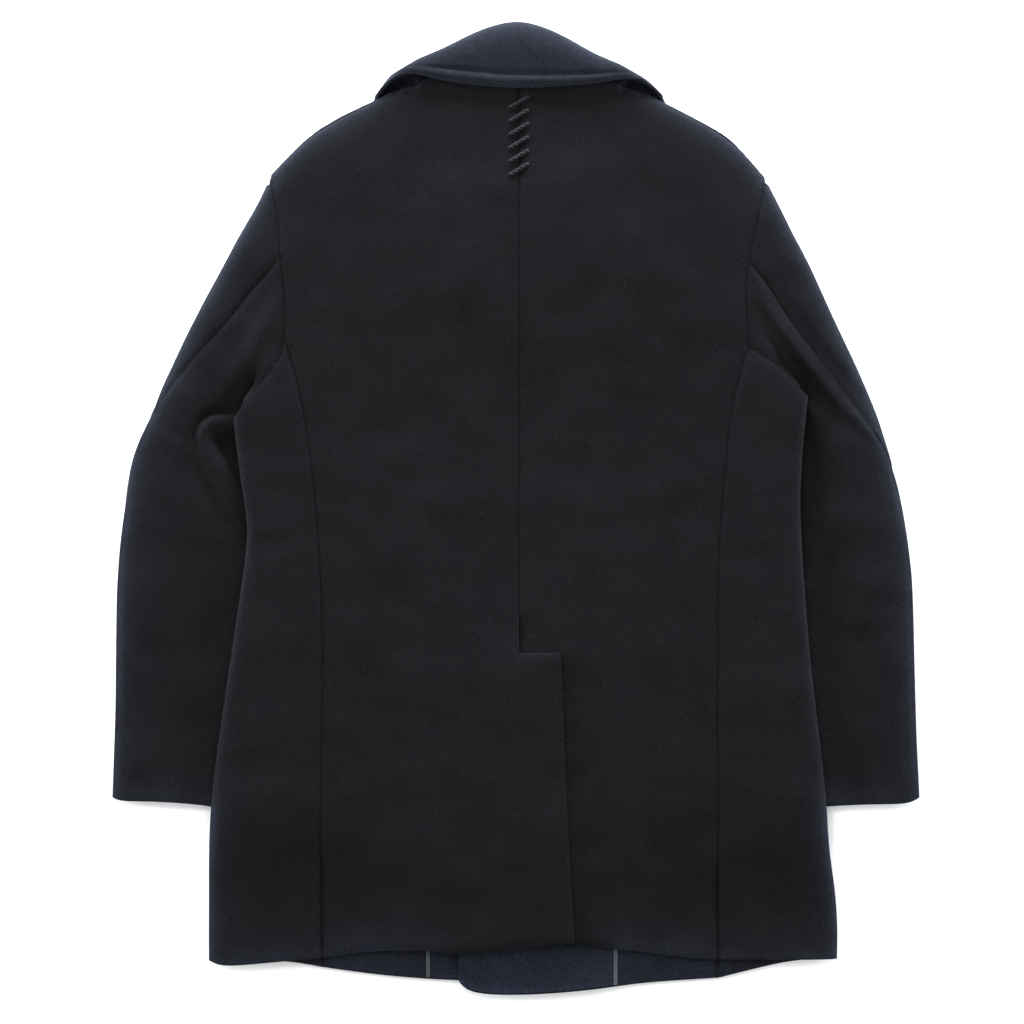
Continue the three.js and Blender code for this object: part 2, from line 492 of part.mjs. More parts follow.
// A two-piece sleeve as a flat tube from the armhole to the cuff, tucked under the body's side.
function addSleeve(side, line, table) {
  const { sign, fold, elbow } = table;
  const armhole = (u) => (u <= ARMHOLE_SHARE ? line.armhole(u / ARMHOLE_SHARE)
    : line.underarm((u - ARMHOLE_SHARE) / (1 - ARMHOLE_SHARE)));
  const bulge = (curve, u) => curve(u).sub(curve(0).lerp(curve(1), u));
  const shape = (u, w) => line.outer(w).lerp(line.tuck(w ** TUCK_PACE), u)
    .addScaledVector(bulge(armhole, u), Math.max(0, 1 - w / ARMHOLE_FADE) ** ARMHOLE_POWER)
    .addScaledVector(bulge(line.cuff, u), Math.max(0, 1 - (1 - w) / CUFF_FADE) ** 2);
  const underarmPoint = line.underarm(1);
  // Distance from the body's side fold, which lies over the sleeve's inner part.
  const clearOfBody = (point) => {
    const away = sign * (point.x - underarmPoint.x);
    const above = point.y - underarmPoint.y;
    if (above > 0) return Math.hypot(away, above);
    const rows = fold.map(([x, y]) => [y, x]);
    return sign * point.x - readTable(rows, point.y);
  };
  const heights = (point, w) => {
    const full = lerp(SLEEVE_LEVEL, CUFF_LEVEL, smoothstep(w, ...SLEEVE_THINS));
    const free = lerp(SLEEVE_TUCK, full, smoothstep(clearOfBody(point), ...SLEEVE_CLEAR));
    const own = smoothstep(w, 0, HEIGHT_FREE);
    return [lerp(underHeight(point.x, point.y), 0, own), lerp(topHeight(point.x, point.y), free, own)];
  };
  const widths = (w) => {
    const width = line.outer(w).distanceTo(line.tuck(w ** TUCK_PACE));
    const inner = lerp(SIDE_ROUND * (1 - ARMHOLE_SHARE) * width, TUCK_ROUND, smoothstep(w, 0, SLEEVE_FREE));
    const atArmhole = (SHOULDER_ROUND * ARMHOLE_SHARE * width) / ARMHOLE_LENGTH;
    const outer = lerp(atArmhole, SLEEVE_ROUND, smoothstep(w, 0, SLEEVE_FREE));
    return { width, inner, outer };
  };
  const sheet = (start, ends, depth) => sleeveRows.map((w) => {
    const { width, inner, outer } = widths(w);
    const density = (position) => {
      const share = position < 0 ? -position : 1 - Math.abs(1 - position);
      const d = [share * width, (1 - share) * width];
      const turning = (distance, round) => (distance < round
        ? FOLD_STEPS / (Math.PI / 2) / (round * Math.max(0.02, roundness(distance, round))) : 0);
      return width * (1 / SLEEVE_STEP + turning(d[0], outer) + turning(d[1], inner));
    };
    const even = spread(...ends(w), start.length - 1, density);
    const own = smoothstep(w, 0, SLEEVE_FREE);
    return start.map((from, k) => {
      const position = lerp(from, even[k], own);
      const beneath = position < 0 || position > 1;
      const share = position < 0 ? -position : 1 - Math.abs(1 - position);
      const fromOuter = Math.max(0, 1 - (share * width) / outer);
      const fromInner = Math.max(0, 1 - ((1 - share) * width) / inner);
      const pushed = (depth * CLOTH * (fromOuter - fromInner)) / width;
      const point = shape(clamp(share + pushed, 0, 1), w);
      const turn = Math.min(roundness(share * width, outer), roundness((1 - share) * width, inner));
      point.z = foldedHeight(...heights(point, w), beneath ? -1 : 1, turn, depth);
      return point;
    });
  });
  const frontSeam = (w) => lerp(ARMHOLE_SHARE, FRONT_SEAM_AT_CUFF, smoothstep(w, 0, 0.5));
  const gap = (0.8 * SEAM) / SLEEVE_WIDTH;
  const elbowAt = (w) => readTable(elbow, w);
  const inset = (start) => start.map((p, k) => p + (k === 0 ? gap : 0) - (k === start.length - 1 ? gap : 0));
  const topEnds = (w) => [-frontSeam(w) + gap, elbowAt(w) - gap];
  const underEnds = (w) => [elbowAt(w) + gap, 2 - frontSeam(w) - gap];
  addWall(`sleeve_top_${side}`, ...[0, 1].map((depth) => sheet(inset(topSleeveStart), topEnds, depth)));
  addWall(`sleeve_under_${side}`, ...[0, 1].map((depth) => sheet(inset(underSleeveStart), underEnds, depth)));
}

// Moves a sheet of points in along its normals by the thickness of the cloth.
function movedIn(sheet, thickness) {
  const at = (r, c) => sheet[clamp(r, 0, sheet.length - 1)][clamp(c, 0, sheet[0].length - 1)];
  return sheet.map((row, r) => row.map((point, c) => {
    const down = at(r + 1, c).clone().sub(at(r - 1, c));
    const across = at(r, c + 1).clone().sub(at(r, c - 1));
    return point.clone().addScaledVector(down.cross(across).normalize(), thickness);
  }));
}

// The collar's fall, a band folded over at the neck and carried round the shoulders to the underside.
function addCollar() {
  const half = (sign) => FALL.map((row) => row.map((number, k) => {
    if (k % 3 === 0) return sign * number;
    return k % 3 === 1 && sign > 0 ? number - COLLAR_TILT * smoothstep(row[k - 1], 0, 70) * smoothstep(number, 785, 805)
      : number;
  }));
  const sections = [...half(-1).reverse(), ...half(1).slice(1)];
  const lineAt = (k) => {
    const points = sections.map((row) => new THREE.Vector3(...row.slice(k, k + 3)));
    return new THREE.CatmullRomCurve3(points, false, 'centripetal');
  };
  const [under, fold, crown, edge] = [0, 3, 6, 9].map(lineAt);
  const quarter = (from, to, angle) => new THREE.Vector3(
    lerp(from.x, to.x, 1 - Math.cos(angle)),
    lerp(from.y, to.y, 1 - Math.cos(angle)),
    lerp(from.z, to.z, Math.sin(angle)),
  );
  const turns = [1 / 3, 2 / 3, 1].map((t) => (t * Math.PI) / 2);
  const outer = steps(0, 1, COLLAR_ROWS).map((s) => {
    const [u, f, c, e] = [under, fold, crown, edge].map((curve) => curve.getPoint(s));
    return [u, quarter(f, u, Math.PI / 4), f, ...turns.map((angle) => quarter(f, c, angle)), c.clone().lerp(e, 0.5), e];
  });
  addWall('collar_fall', outer, movedIn(outer, CLOTH));
  const standHalf = (sign) => STAND.map(([x, y, z, seamZ]) => {
    const tilt = sign > 0 ? COLLAR_TILT * smoothstep(x, 0, 70) : 0;
    return [sign * x, y - tilt, z, seamZ];
  });
  const standRows = [...standHalf(-1).reverse(), ...standHalf(1).slice(1)];
  const standLine = (pick) => new THREE.CatmullRomCurve3(standRows.map(pick), false, 'centripetal');
  const top = standLine(([x, y, z]) => new THREE.Vector3(x, y - SEAM, z));
  const foot = standLine(([x, , , z]) => new THREE.Vector3(x, neckSeamY(x) + SEAM, z));
  const standSheet = (depth) => steps(0, 1, STAND_ROWS).map((s) => steps(0, 1, 2).map((t) => {
    const point = foot.getPoint(s).lerp(top.getPoint(s), t);
    point.z -= depth * CLOTH;
    return point;
  }));
  addWall('collar_stand', standSheet(0), standSheet(1));
}

// A plain button with a raised rim, face down; its thread shank reaches up to the front. x and y are its centre.
function addButton(name, x, y) {
  const profile = [[0, 0.5], [8.5, 0.5], [9.5, 0], [13.5, 0], [BUTTON_RADIUS, 1], [BUTTON_RADIUS, 2.8], [12.5, 3.8],
    [3.5, 3.8], [3, FRONT_LEVEL - SEAM], [0, FRONT_LEVEL - SEAM]];
  const turned = new THREE.LatheGeometry(profile.map(([r, z]) => new THREE.Vector2(r, z)), BUTTON_SIDES);
  const button = new THREE.Mesh(turned.rotateX(Math.PI / 2), finishes.button);
  button.position.set(x, y, 0);
  button.name = name;
  coat.add(button);
}

const sleeveRows = steps(0, 1, SLEEVE_ROWS).map((w) => Math.max(w, SEAM / SLEEVE_LENGTH));
const leftLines = sideLines(SIDES.left);
const rightLines = sideLines(SIDES.right);
addBack('back_left', leftLines, -1, LEFT_BACK_HEM);
addBack('back_right', rightLines, 1, RIGHT_BACK_HEM);
addSide('side_left', leftLines);
addSide('side_right', rightLines);
const frontLeft = addFront('front_left', leftLines, -1, LEFT_FRONT_HEM, LEFT_FRONT_COLUMNS);
const frontRight = addFront('front_right', rightLines, 1, RIGHT_FRONT_HEM, RIGHT_FRONT_COLUMNS);
addFacing('left', frontLeft);
addFacing('right', frontRight);
addLapel('lapel_left', frontLeft, -1, LEFT_LAPEL);
addLapel('lapel_right', frontRight, 1, RIGHT_LAPEL);
addSleeve('left', leftLines, SIDES.left);
addSleeve('right', rightLines, SIDES.right);
addCollar();
BUTTON_ROWS.forEach((y, k) => {
  addButton(`button_${2 * k + 1}`, -BUTTON_X, y);
  addButton(`button_${2 * k + 2}`, BUTTON_X, y);
});

// The origin is under the middle of the coat, on the surface it lies on.
const extent = new THREE.Box3().setFromObject(coat);
const middle = extent.getCenter(new THREE.Vector3());
coat.position.set(-middle.x, -middle.y, -extent.min.z);

export default coat;
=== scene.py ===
# %% [markdown]
# # A pea coat laid flat on its front
#
# The coat lies face down, back up, as it would on a cutting table. Its cloth solids come packed as a
# fixed frame; this lesson gives them the fine form of heavy wool, the stitches, the buttons and the
# light. Everything is in metres: x runs to the wearer's right, y to the collar, z up from the table.

# %% Load the solids
import math

import bpy
import numpy as np
from mathutils import Matrix, Vector
from mathutils.bvhtree import BVHTree
from mathutils.kdtree import KDTree


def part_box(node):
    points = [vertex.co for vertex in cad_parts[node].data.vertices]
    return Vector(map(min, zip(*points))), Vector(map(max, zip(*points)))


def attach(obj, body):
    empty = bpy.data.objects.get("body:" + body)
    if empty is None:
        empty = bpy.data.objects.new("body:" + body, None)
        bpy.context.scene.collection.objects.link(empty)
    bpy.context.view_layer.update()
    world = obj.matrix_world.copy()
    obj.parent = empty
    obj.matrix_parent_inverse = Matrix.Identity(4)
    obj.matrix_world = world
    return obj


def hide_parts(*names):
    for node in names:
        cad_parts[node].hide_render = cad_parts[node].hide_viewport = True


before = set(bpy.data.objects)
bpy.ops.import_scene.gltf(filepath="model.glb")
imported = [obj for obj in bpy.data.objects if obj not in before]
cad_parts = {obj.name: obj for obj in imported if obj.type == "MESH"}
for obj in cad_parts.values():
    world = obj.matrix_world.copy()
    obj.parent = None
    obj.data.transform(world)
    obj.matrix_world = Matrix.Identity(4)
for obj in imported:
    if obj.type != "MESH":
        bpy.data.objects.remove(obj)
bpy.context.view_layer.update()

MM = 0.001

# %% [markdown]
# ## The view
#
# The coat is seen from straight above. A long lens high over the table keeps the sleeves from leaning
# outwards, as a short lens close by would make them.

# %% Camera
VIEW_HEIGHT = 2.6
VIEW_WIDTH = 0.9421
COAT_LEVEL = 0.012

lens = bpy.data.cameras.new("overhead")
lens.sensor_width = 36
lens.lens = lens.sensor_width * (VIEW_HEIGHT - COAT_LEVEL) / VIEW_WIDTH
camera = bpy.data.objects.new("overhead", lens)
camera.location = (-3.6 * MM, -3.5 * MM, VIEW_HEIGHT)
bpy.context.scene.collection.objects.link(camera)
bpy.context.scene.camera = camera
print("lens", round(lens.lens, 1), "mm")

# %% [markdown]
# ## Small helpers
#
# Blender's operators act on what is selected, and loading leaves the solids selected. Each step here
# selects one piece by itself first.

# %% Selecting and shaping
def only(*pieces):
    """Selects these pieces and nothing else; the first is active."""
    bpy.ops.object.select_all(action="DESELECT")
    for piece in pieces:
        piece.select_set(True)
    bpy.context.view_layer.objects.active = pieces[0]


def finish_modifier(piece, kind, **values):
    """Adds a modifier with these values and applies it."""
    only(piece)
    modifier = piece.modifiers.new(kind.title(), kind)
    for name, value in values.items():
        setattr(modifier, name, value)
    bpy.ops.object.modifier_apply(modifier=modifier.name)


def points_of(piece):
    points = np.empty(len(piece.data.vertices) * 3)
    piece.data.vertices.foreach_get("co", points)
    return points.reshape(-1, 3)


def set_points(piece, points):
    piece.data.vertices.foreach_set("co", points.ravel())
    piece.data.update()


def triangles(piece):
    return sum(len(face.vertices) - 2 for face in piece.data.polygons)


# %% [markdown]
# ## From solid to cloth
#
# A coat panel is one thick sheet of milled wool. The solid already has its outline, its folds over the
# sides and its thickness, but in flat facets 30 mm wide. Sculpting each panel by hand would lose the
# fit of the seams, so a copy of the solid is merged into quads, its cut edges are creased so that
# neighbours still meet, and Catmull-Clark subdivision rounds what is left. A narrow bevel then turns
# the cut edges, which makes every seam a small soft groove.

# %% Fine copies of the solids
CUT_EDGE = math.radians(52)


def cloth_copy(node, levels):
    """A finely divided copy of one cloth solid."""
    piece = bpy.data.objects.new("cloth_" + node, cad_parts[node].data.copy())
    bpy.context.scene.collection.objects.link(piece)
    piece.data.materials.clear()
    only(piece)
    bpy.ops.object.mode_set(mode="EDIT")
    bpy.ops.mesh.select_all(action="SELECT")
    bpy.ops.mesh.remove_doubles(threshold=0.01 * MM)
    bpy.ops.mesh.tris_convert_to_quads(face_threshold=math.radians(60), shape_threshold=math.radians(70))
    bpy.ops.mesh.select_all(action="DESELECT")
    bpy.ops.mesh.select_mode(type="EDGE")
    bpy.ops.mesh.edges_select_sharp(sharpness=CUT_EDGE)
    bpy.ops.transform.edge_crease(value=1)
    bpy.ops.object.mode_set(mode="OBJECT")
    finish_modifier(piece, "SUBSURF", levels=levels, render_levels=levels, boundary_smooth="PRESERVE_CORNERS")
    return piece


LEVELS = {
    "back_left": 3, "back_right": 3, "side_left": 3, "side_right": 3,
    "sleeve_top_left": 3, "sleeve_top_right": 3, "sleeve_under_left": 3, "sleeve_under_right": 3,
    "front_left": 2, "front_right": 2, "lapel_left": 3, "lapel_right": 3,
    "collar_fall": 3, "collar_stand": 3,
    "facing_left": 3, "facing_right": 3, "tape_left": 3, "tape_right": 3,
}
cloth = {node: cloth_copy(node, levels) for node, levels in LEVELS.items()}
print("fine faces:", sum(len(piece.data.polygons) for piece in cloth.values()))

# %% [markdown]
# ## Creases and folds
#
# Heavy wool doesn't crumple. It keeps a few soft dents: where the left sleeve bends at the elbow, where
# both sleeves disappear under the body, and in long faint waves down the skirt. Each one is drawn as a
# line with a width and a height, in millimetres, and raises or lowers the cloth round it. Each hollow is
# drawn as an outline with a soft edge. The sleeves have folds of their own, because they lie under the
# body's sides and a dent in one must not show in the other.

# %% The lines of the folds
# Points (x, y) in mm, half width in mm, height in mm (negative is a trough).
SLEEVE_FOLDS = [
    # Left sleeve: the crease that curls from the underarm, the roll inside it, the fold down the elbow.
    ([(-257, 86), (-268.6, 88.5), (-281.5, 87.6), (-291.6, 80.3), (-296.2, 67.4), (-291.6, 52.7)], 3.2, -2.6),
    ([(-258, 79), (-270, 80), (-280, 78.5), (-286.5, 73), (-288.5, 64), (-285, 52), (-277, 36), (-266, 12),
      (-250, -18)], 5.6, 2.0),
    ([(-302, 54), (-296, 40), (-285, 18), (-273, -8), (-262, -30)], 7.5, -1.8),
    ([(-318, 122), (-306, 100), (-300, 84)], 9.0, 1.0),
    ([(-330, 84), (-316, 70), (-306, 62)], 7.0, -0.9),
    ([(-216, 196), (-232, 166), (-250, 134), (-268, 108), (-280, 94)], 9.0, 1.5),
    # Right sleeve: the ridge along its elbow, the hollow below it, the cloth bulging over the armhole.
    ([(219, 214), (226, 190), (243, 166), (263, 140), (284, 112), (306, 88), (330, 66), (345, 52)], 6.0, 2.0),
    ([(238, 206), (258, 176), (280, 146), (302, 118), (326, 90)], 6.5, -1.3),
    ([(288, 84), (296, 50), (300, 8), (294, -50)], 9.0, 1.0),
    ([(296, -60), (326, -70), (356, -62)], 14.0, 0.8),
    ([(292, -112), (322, -120), (354, -114)], 12.0, -0.7),
    ([(-352, -96), (-330, -104), (-300, -98)], 14.0, 0.8),
    ([(-356, -130), (-330, -138), (-296, -132)], 12.0, -0.7),
]
BODY_FOLDS = [
    # Body: the tuck at the waist on the left, drag lines below the armholes, waves in the skirt.
    ([(-246, -30), (-226, -34), (-204, -30)], 7.0, -0.5),
    ([(-246, -16), (-224, -18), (-200, -12)], 8.0, 0.35),
    ([(-214, 150), (-200, 128), (-192, 96)], 8.0, -0.8),
    ([(212, 148), (200, 124), (190, 92)], 8.0, -0.8),
    ([(-160, -140), (-163, -260), (-158, -400)], 15.0, 0.8),
    ([(-128, -120), (-130, -260), (-126, -400)], 14.0, -0.7),
    ([(-62, -150), (-66, -270), (-60, -395)], 13.0, 0.7),
    ([(-24, -170), (-22, -280), (-26, -395)], 10.0, -0.6),
    ([(88, -140), (92, -270), (96, -400)], 15.0, 0.7),
    ([(120, -120), (124, -260), (128, -400)], 13.0, -0.7),
    ([(-150, 20), (-90, 4), (-30, 14)], 16.0, 0.6),
    ([(40, 12), (90, 2), (150, 18)], 16.0, 0.6),
    ([(-140, 300), (-110, 330), (-92, 356)], 12.0, 0.6),
    ([(140, 296), (112, 326), (96, 352)], 12.0, 0.6),
    # The collar rises a little between its stitching and its edge.
    ([(-98, 402), (-77, 398), (-46, 395), (-14, 392.5), (29, 391.5), (71, 392), (104, 396)], 4.5, 1.1),
    ([(-98, 406), (-77, 404), (-46, 401.4), (-14, 398.6), (29, 397.9), (71, 398.3), (104, 400)], 2.0, -1.3),
]


# Hollows: their outline in mm, how soft their edge is, and how deep they are.
HOLLOWS = [
    ([(-257, 72), (-270, 71.5), (-279, 67), (-281.5, 60), (-277, 48), (-268, 33), (-258, 14), (-250, -4),
      (-236, -4), (-238, 72)], 7.0, -3.6),
    ([(256, 92), (270, 94), (277, 84), (282, 60), (286, 30), (287, 0), (285, -30), (272, -70),
      (252, -84)], 9.0, -3.2),
]


def distance_to_line(xy, line):
    """Distance from each point to a line of points, and how far along the line it is, 0 to 1."""
    best = np.full(len(xy), 1e9)
    along = np.zeros(len(xy))
    line = np.array(line, float)
    lengths = np.linalg.norm(np.diff(line, axis=0), axis=1)
    before = np.concatenate([[0], np.cumsum(lengths)])
    for start, end, length, done in zip(line, line[1:], lengths, before):
        share = np.clip((xy - start) @ (end - start) / length ** 2, 0, 1)
        gap = np.linalg.norm(xy - (start + share[:, None] * (end - start)), axis=1)
        nearer = gap < best
        best = np.where(nearer, gap, best)
        along = np.where(nearer, (done + share * length) / before[-1], along)
    return best, along


def fold_height(xy, kind):
    """Height in mm that the folds give the cloth of one kind of piece at points in mm."""
    height = np.zeros(len(xy))
    for line, width, rise in SLEEVE_FOLDS if kind == "sleeve" else BODY_FOLDS:
        gap, along = distance_to_line(xy, line)
        fade = np.sin(np.pi * np.clip(along, 0.03, 0.97)) ** 0.6
        height += rise * fade * np.exp(-(gap / width) ** 2)
    for outline, soft, depth in HOLLOWS if kind == "sleeve" else ():
        gap, _ = distance_to_line(xy, outline + outline[:1])
        share = np.clip(np.where(inside(xy, outline), gap, 0) / soft, 0, 1)
        height += depth * share * share * (3 - 2 * share)
    return height


def inside(xy, outline):
    """Which points lie inside a closed outline."""
    found = np.zeros(len(xy), bool)
    for (x0, y0), (x1, y1) in zip(outline, outline[1:] + outline[:1]):
        crosses = (y0 > xy[:, 1]) != (y1 > xy[:, 1])
        at = x0 + (xy[:, 1] - y0) * (x1 - x0) / ((y1 - y0) or 1e-9)
        found ^= crosses & (xy[:, 0] < at)
    return found


# Slow waves of a cloth that has been worn and laid down. Columns: wavelength in mm, direction in radians,
# height in mm, phase.
WAVES = [(131, 0.35, 0.28, 0.4), (83, 1.25, 0.2, 2.1), (57, 2.2, 0.14, 4.0), (37, 0.9, 0.08, 1.3)]


def wave_height(xy):
    """Height in mm that the slow waves give the cloth at points in mm."""
    height = np.zeros(len(xy))
    for length, angle, rise, phase in WAVES:
        across = xy @ np.array([math.cos(angle), math.sin(angle)])
        along = xy @ np.array([-math.sin(angle), math.cos(angle)])
        bend = 1.3 * np.sin(2 * np.pi * along / (1.7 * length))
        height += rise * np.sin(2 * np.pi * across / length + phase + bend)
    return height


print("folds:", len(SLEEVE_FOLDS) + len(BODY_FOLDS))

# %% [markdown]
# ## Closing the seams
#
# A sewing machine pulls two cut edges together along one line. The solids stand a hair apart there, and
# smoothing rounds their corners, so each cut edge meets its neighbour half way, and the cloth beside it
# follows.

# %% Close the seams
SEWN = ("back", "side", "front", "sleeve")
SEAM_GAP = 1.0 * MM
CORNER_GAP = 4.5 * MM
# Where three panels meet, in mm: smoothing parts them most here.
CORNERS = [(-219, 231), (-212.5, 155), (216, 232), (210.5, 147), (-225.5, 303.5), (229, 303),
           (-94, 392), (100, 391)]
CORNER_REACH = 22 * MM
FOLLOW = 6 * MM
MEETING_TURNS = 4


def cut_edge_mask(piece):
    """Which points of a piece lie on its cut edges."""
    only(piece)
    bpy.ops.object.mode_set(mode="EDIT")
    bpy.ops.mesh.select_all(action="DESELECT")
    bpy.ops.mesh.edges_select_sharp(sharpness=CUT_EDGE)
    bpy.ops.object.mode_set(mode="OBJECT")
    chosen = np.zeros(len(piece.data.vertices), bool)
    piece.data.vertices.foreach_get("select", chosen)
    return chosen


def tree_of(places):
    """A tree that finds the nearest of these places."""
    tree = KDTree(len(places))
    for number, place in enumerate(places):
        tree.insert(place, number)
    tree.balance()
    return tree


def edge_distance(piece):
    """Distance of every point of a piece to its nearest cut edge."""
    tree = tree_of(points_of(piece)[cut_edge_mask(piece)])
    return np.array([tree.find(place)[2] for place in points_of(piece)])


sewn = {node: cut_edge_mask(piece) for node, piece in cloth.items() if node.split("_")[0] in SEWN}


def reach_at(place):
    """How far apart two cut edges may be here and still be drawn together."""
    gap = min(math.hypot(place[0] - x * MM, place[1] - y * MM) for x, y in CORNERS)
    return CORNER_GAP if gap < CORNER_REACH else SEAM_GAP


met = {node: [] for node in cloth}
for turn in range(MEETING_TURNS):
    owners = [node for node in sewn for _ in range(int(sewn[node].sum()))]
    places = {node: points_of(cloth[node]) for node in sewn}
    tree = tree_of(np.concatenate([places[node][sewn[node]] for node in sewn]))
    for node in sewn:
        chosen = np.flatnonzero(sewn[node])
        moves = np.zeros((len(chosen), 3))
        met[node] = []
        for row, number in enumerate(chosen):
            own = places[node][number]
            near = [found for found in tree.find_range(own, reach_at(own)) if owners[found[1]] != node]
            if near:
                moves[row] = (np.array(min(near, key=lambda found: found[2])[0]) - own) / 2
                met[node].append(number)
        own_tree = tree_of(places[node][chosen])
        moved = places[node].copy()
        moved[chosen] += moves
        for number in np.flatnonzero(~sewn[node]):
            _, row, gap = own_tree.find(places[node][number])
            if gap < 3 * FOLLOW:
                moved[number] += moves[row] * math.exp(-(gap / FOLLOW) ** 2)
        set_points(cloth[node], moved)
print("seam points met:", {node: len(found) for node, found in met.items()})

# %% [markdown]
# ## Laying the folds into the cloth
#
# Only the upper layer takes the folds. The share of a fold that a point gets grows with its height, so
# a sleeve bends on top and stays flat where it rests. Near a cut edge the cloth is also pulled down a
# little, as a pressed seam is. Where one piece dives under another, its edge is drawn in, so that no
# light comes through between them.

# %% Shape the cloth
SEAM_PULL = 0.8 * MM
SEAM_REACH = 3.2 * MM
# Kind of piece: below the first height in mm the cloth keeps still, above the second it takes the folds
# in full.
UPPER = {"side": (9.5, 14), "sleeve": (4.5, 9), "back": (0, 0.1), "collar": (14, 20)}
# The sleeves go under the sides. The collar's stand sinks into its under leaf at both ends, and that leaf
# goes under the neck seam. Columns: kind of piece, x, y, reach along x and y, moves in x, y and z, highest
# point that moves, all in mm.
DRAWN_IN = [
    ("sleeve", -262, 74, 13, 20, 8.5, 0, 0, 99), ("sleeve", 271, 76, 13, 20, -8.5, 0, 0, 99),
    ("sleeve", -239, 113, 12, 14, 5, -3, -1.6, 99), ("sleeve", 240.5, 132, 12, 12, -5, -3, -1.6, 99),
    ("collar_stand", -92, 396, 10, 30, -5, 0, -6.5, 99), ("collar_stand", 98, 394, 10, 30, 5, 0, -6.5, 99),
    ("collar_stand", 2.8, 394, 140, 5, 0, -3, 0, 99),
    ("collar_fall", -92, 397, 14, 9, 0, -5, 0, 13), ("collar_fall", 96, 392, 16, 9, 0, -5, 0, 13),
]

for node, piece in cloth.items():
    kind = node.split("_")[0]
    if kind not in UPPER:
        continue
    low, high = UPPER[kind]
    points = points_of(piece)
    for start, x, y, wide, tall, *move, top in DRAWN_IN:
        if node.startswith(start):
            near = np.exp(-((points[:, 0] / MM - x) / wide) ** 2 - ((points[:, 1] / MM - y) / tall) ** 2)
            near *= points[:, 2] < top * MM
            points += near[:, None] * np.array(move) * MM
    share = np.clip((points[:, 2] / MM - low) / (high - low), 0, 1)
    share = share * share * (3 - 2 * share)
    rise = fold_height(points[:, :2] / MM, kind) + wave_height(points[:, :2] / MM)
    pull = SEAM_PULL * np.exp(-(edge_distance(piece) / SEAM_REACH) ** 2)
    points[:, 2] += share * (rise * MM - pull)
    set_points(piece, points)
print("pieces with folds:", sum(node.split("_")[0] in UPPER for node in cloth))

# %% [markdown]
# ## Painted sheen along the outline, painted shade in the seams
#
# Along the outline of the coat, most of all round the collar, the cloth's colour is painted paler and
# bluer: a painted sheen where the round edges catch the light. Beside the pressed seams it is painted
# darker: painted shade in the grooves. Both are kept as numbers on the points of the cloth, for its
# material to read. The outline is read off a grid of squares seen from above: a bare square next to a
# covered one lies on it.

# %% Rounded edges, painted shade of the seams and painted sheen of the outline
EDGE_ROUND = 1.15 * MM
# How far the painted shade beside each seam reaches.
GROOVE_SHADE_REACH = 1.7 * MM
SQUARE = 3.0 * MM
# How far in from the outline the painted sheen reaches.
RIM_SHEEN_REACH = 8.5 * MM
# The least painted sheen on every point of the collar and of the facings.
LEAST_RIM_SHEEN = {"collar": 0.6, "facing": 0.3}
plan = np.concatenate([points_of(piece)[:, :2] for piece in cloth.values()])
corner = plan.min(axis=0) - 4 * SQUARE
covered = np.zeros(((plan.max(axis=0) - corner) / SQUARE).astype(int) + 5, bool)
covered[tuple(((plan - corner) / SQUARE).astype(int).T)] = True
for turn in range(2):
    covered[1:-1, 1:-1] |= covered[:-2, 1:-1] & covered[2:, 1:-1] | covered[1:-1, :-2] & covered[1:-1, 2:]
beside = covered.copy()
beside[1:-1, 1:-1] |= covered[:-2, 1:-1] | covered[2:, 1:-1] | covered[1:-1, :-2] | covered[1:-1, 2:]
bare = np.argwhere(beside & ~covered) * SQUARE + corner + SQUARE / 2
outline_tree = tree_of(np.column_stack([bare, np.zeros(len(bare))]))
print("outline squares:", len(bare))


def add_values(piece, name, values):
    """Keeps one number for each point of a piece, for its material to read."""
    kept = piece.data.attributes.new(name, "FLOAT", "POINT")
    kept.data.foreach_set("value", np.array(values, np.float32))


for node, piece in cloth.items():
    seam_points = points_of(piece)[met[node]]
    finish_modifier(piece, "BEVEL", width=EDGE_ROUND, segments=3, limit_method="ANGLE", angle_limit=CUT_EDGE)
    points = points_of(piece)
    # Painted shade: 1 at a seam and fading away from it; the material darkens the cloth by it.
    if len(seam_points):
        tree = tree_of(seam_points)
        gaps = [tree.find(place)[2] for place in points]
        add_values(piece, "groove_shade", [math.exp(-(gap / GROOVE_SHADE_REACH) ** 2) for gap in gaps])
    # Painted sheen: 1 on the outline and fading inwards; the material makes the cloth paler and bluer by it.
    least = LEAST_RIM_SHEEN.get(node.split("_")[0], 0)
    gaps = [outline_tree.find((x, y, 0))[2] - SQUARE / 2 for x, y, _ in points]
    add_values(piece, "rim_sheen", [max(least, math.exp(-max(gap, 0) / RIM_SHEEN_REACH)) for gap in gaps])
    only(piece)
    bpy.ops.object.shade_smooth()
print("cloth triangles:", {node: triangles(piece) for node, piece in cloth.items()})

# %% [markdown]
# ## A surface to sew on
#
# Stitches lie on the cloth, so their places are found by dropping a plumb line on the finished panels.

# %% Plumb line
def surface_of(pieces):
    """One tree of faces for several pieces."""
    points, faces, start = [], [], 0
    for piece in pieces:
        points += [tuple(vertex.co) for vertex in piece.data.vertices]
        faces += [[start + number for number in face.vertices] for face in piece.data.polygons]
        start = len(points)
    return BVHTree.FromPolygons(points, faces)


upper_cloth = surface_of(list(cloth.values()))


def plumb(x, y):
    """Where a plumb line meets the coat, and which way its surface faces there. x and y are in mm."""
    for aside in (0, 0.6, -0.6):
        start = Vector(((x + aside) * MM, y * MM, 0.1))
        place, normal, _, _ = upper_cloth.ray_cast(start, Vector((0, 0, -1)))
        if place is not None:
            return place, normal
    return None, None


print("height at the nape:", plumb(2.8, 340)[0].z)

# %% [markdown]
# ## Stitches
#
# A stitch in thick wool shows as a short bead of thread that sinks in at both ends. One bead is made
# from a sphere drawn out along x, then copied along each line of sewing. Longer beads close together are
# machine topstitching; short ones far apart are prick stitches done by hand.

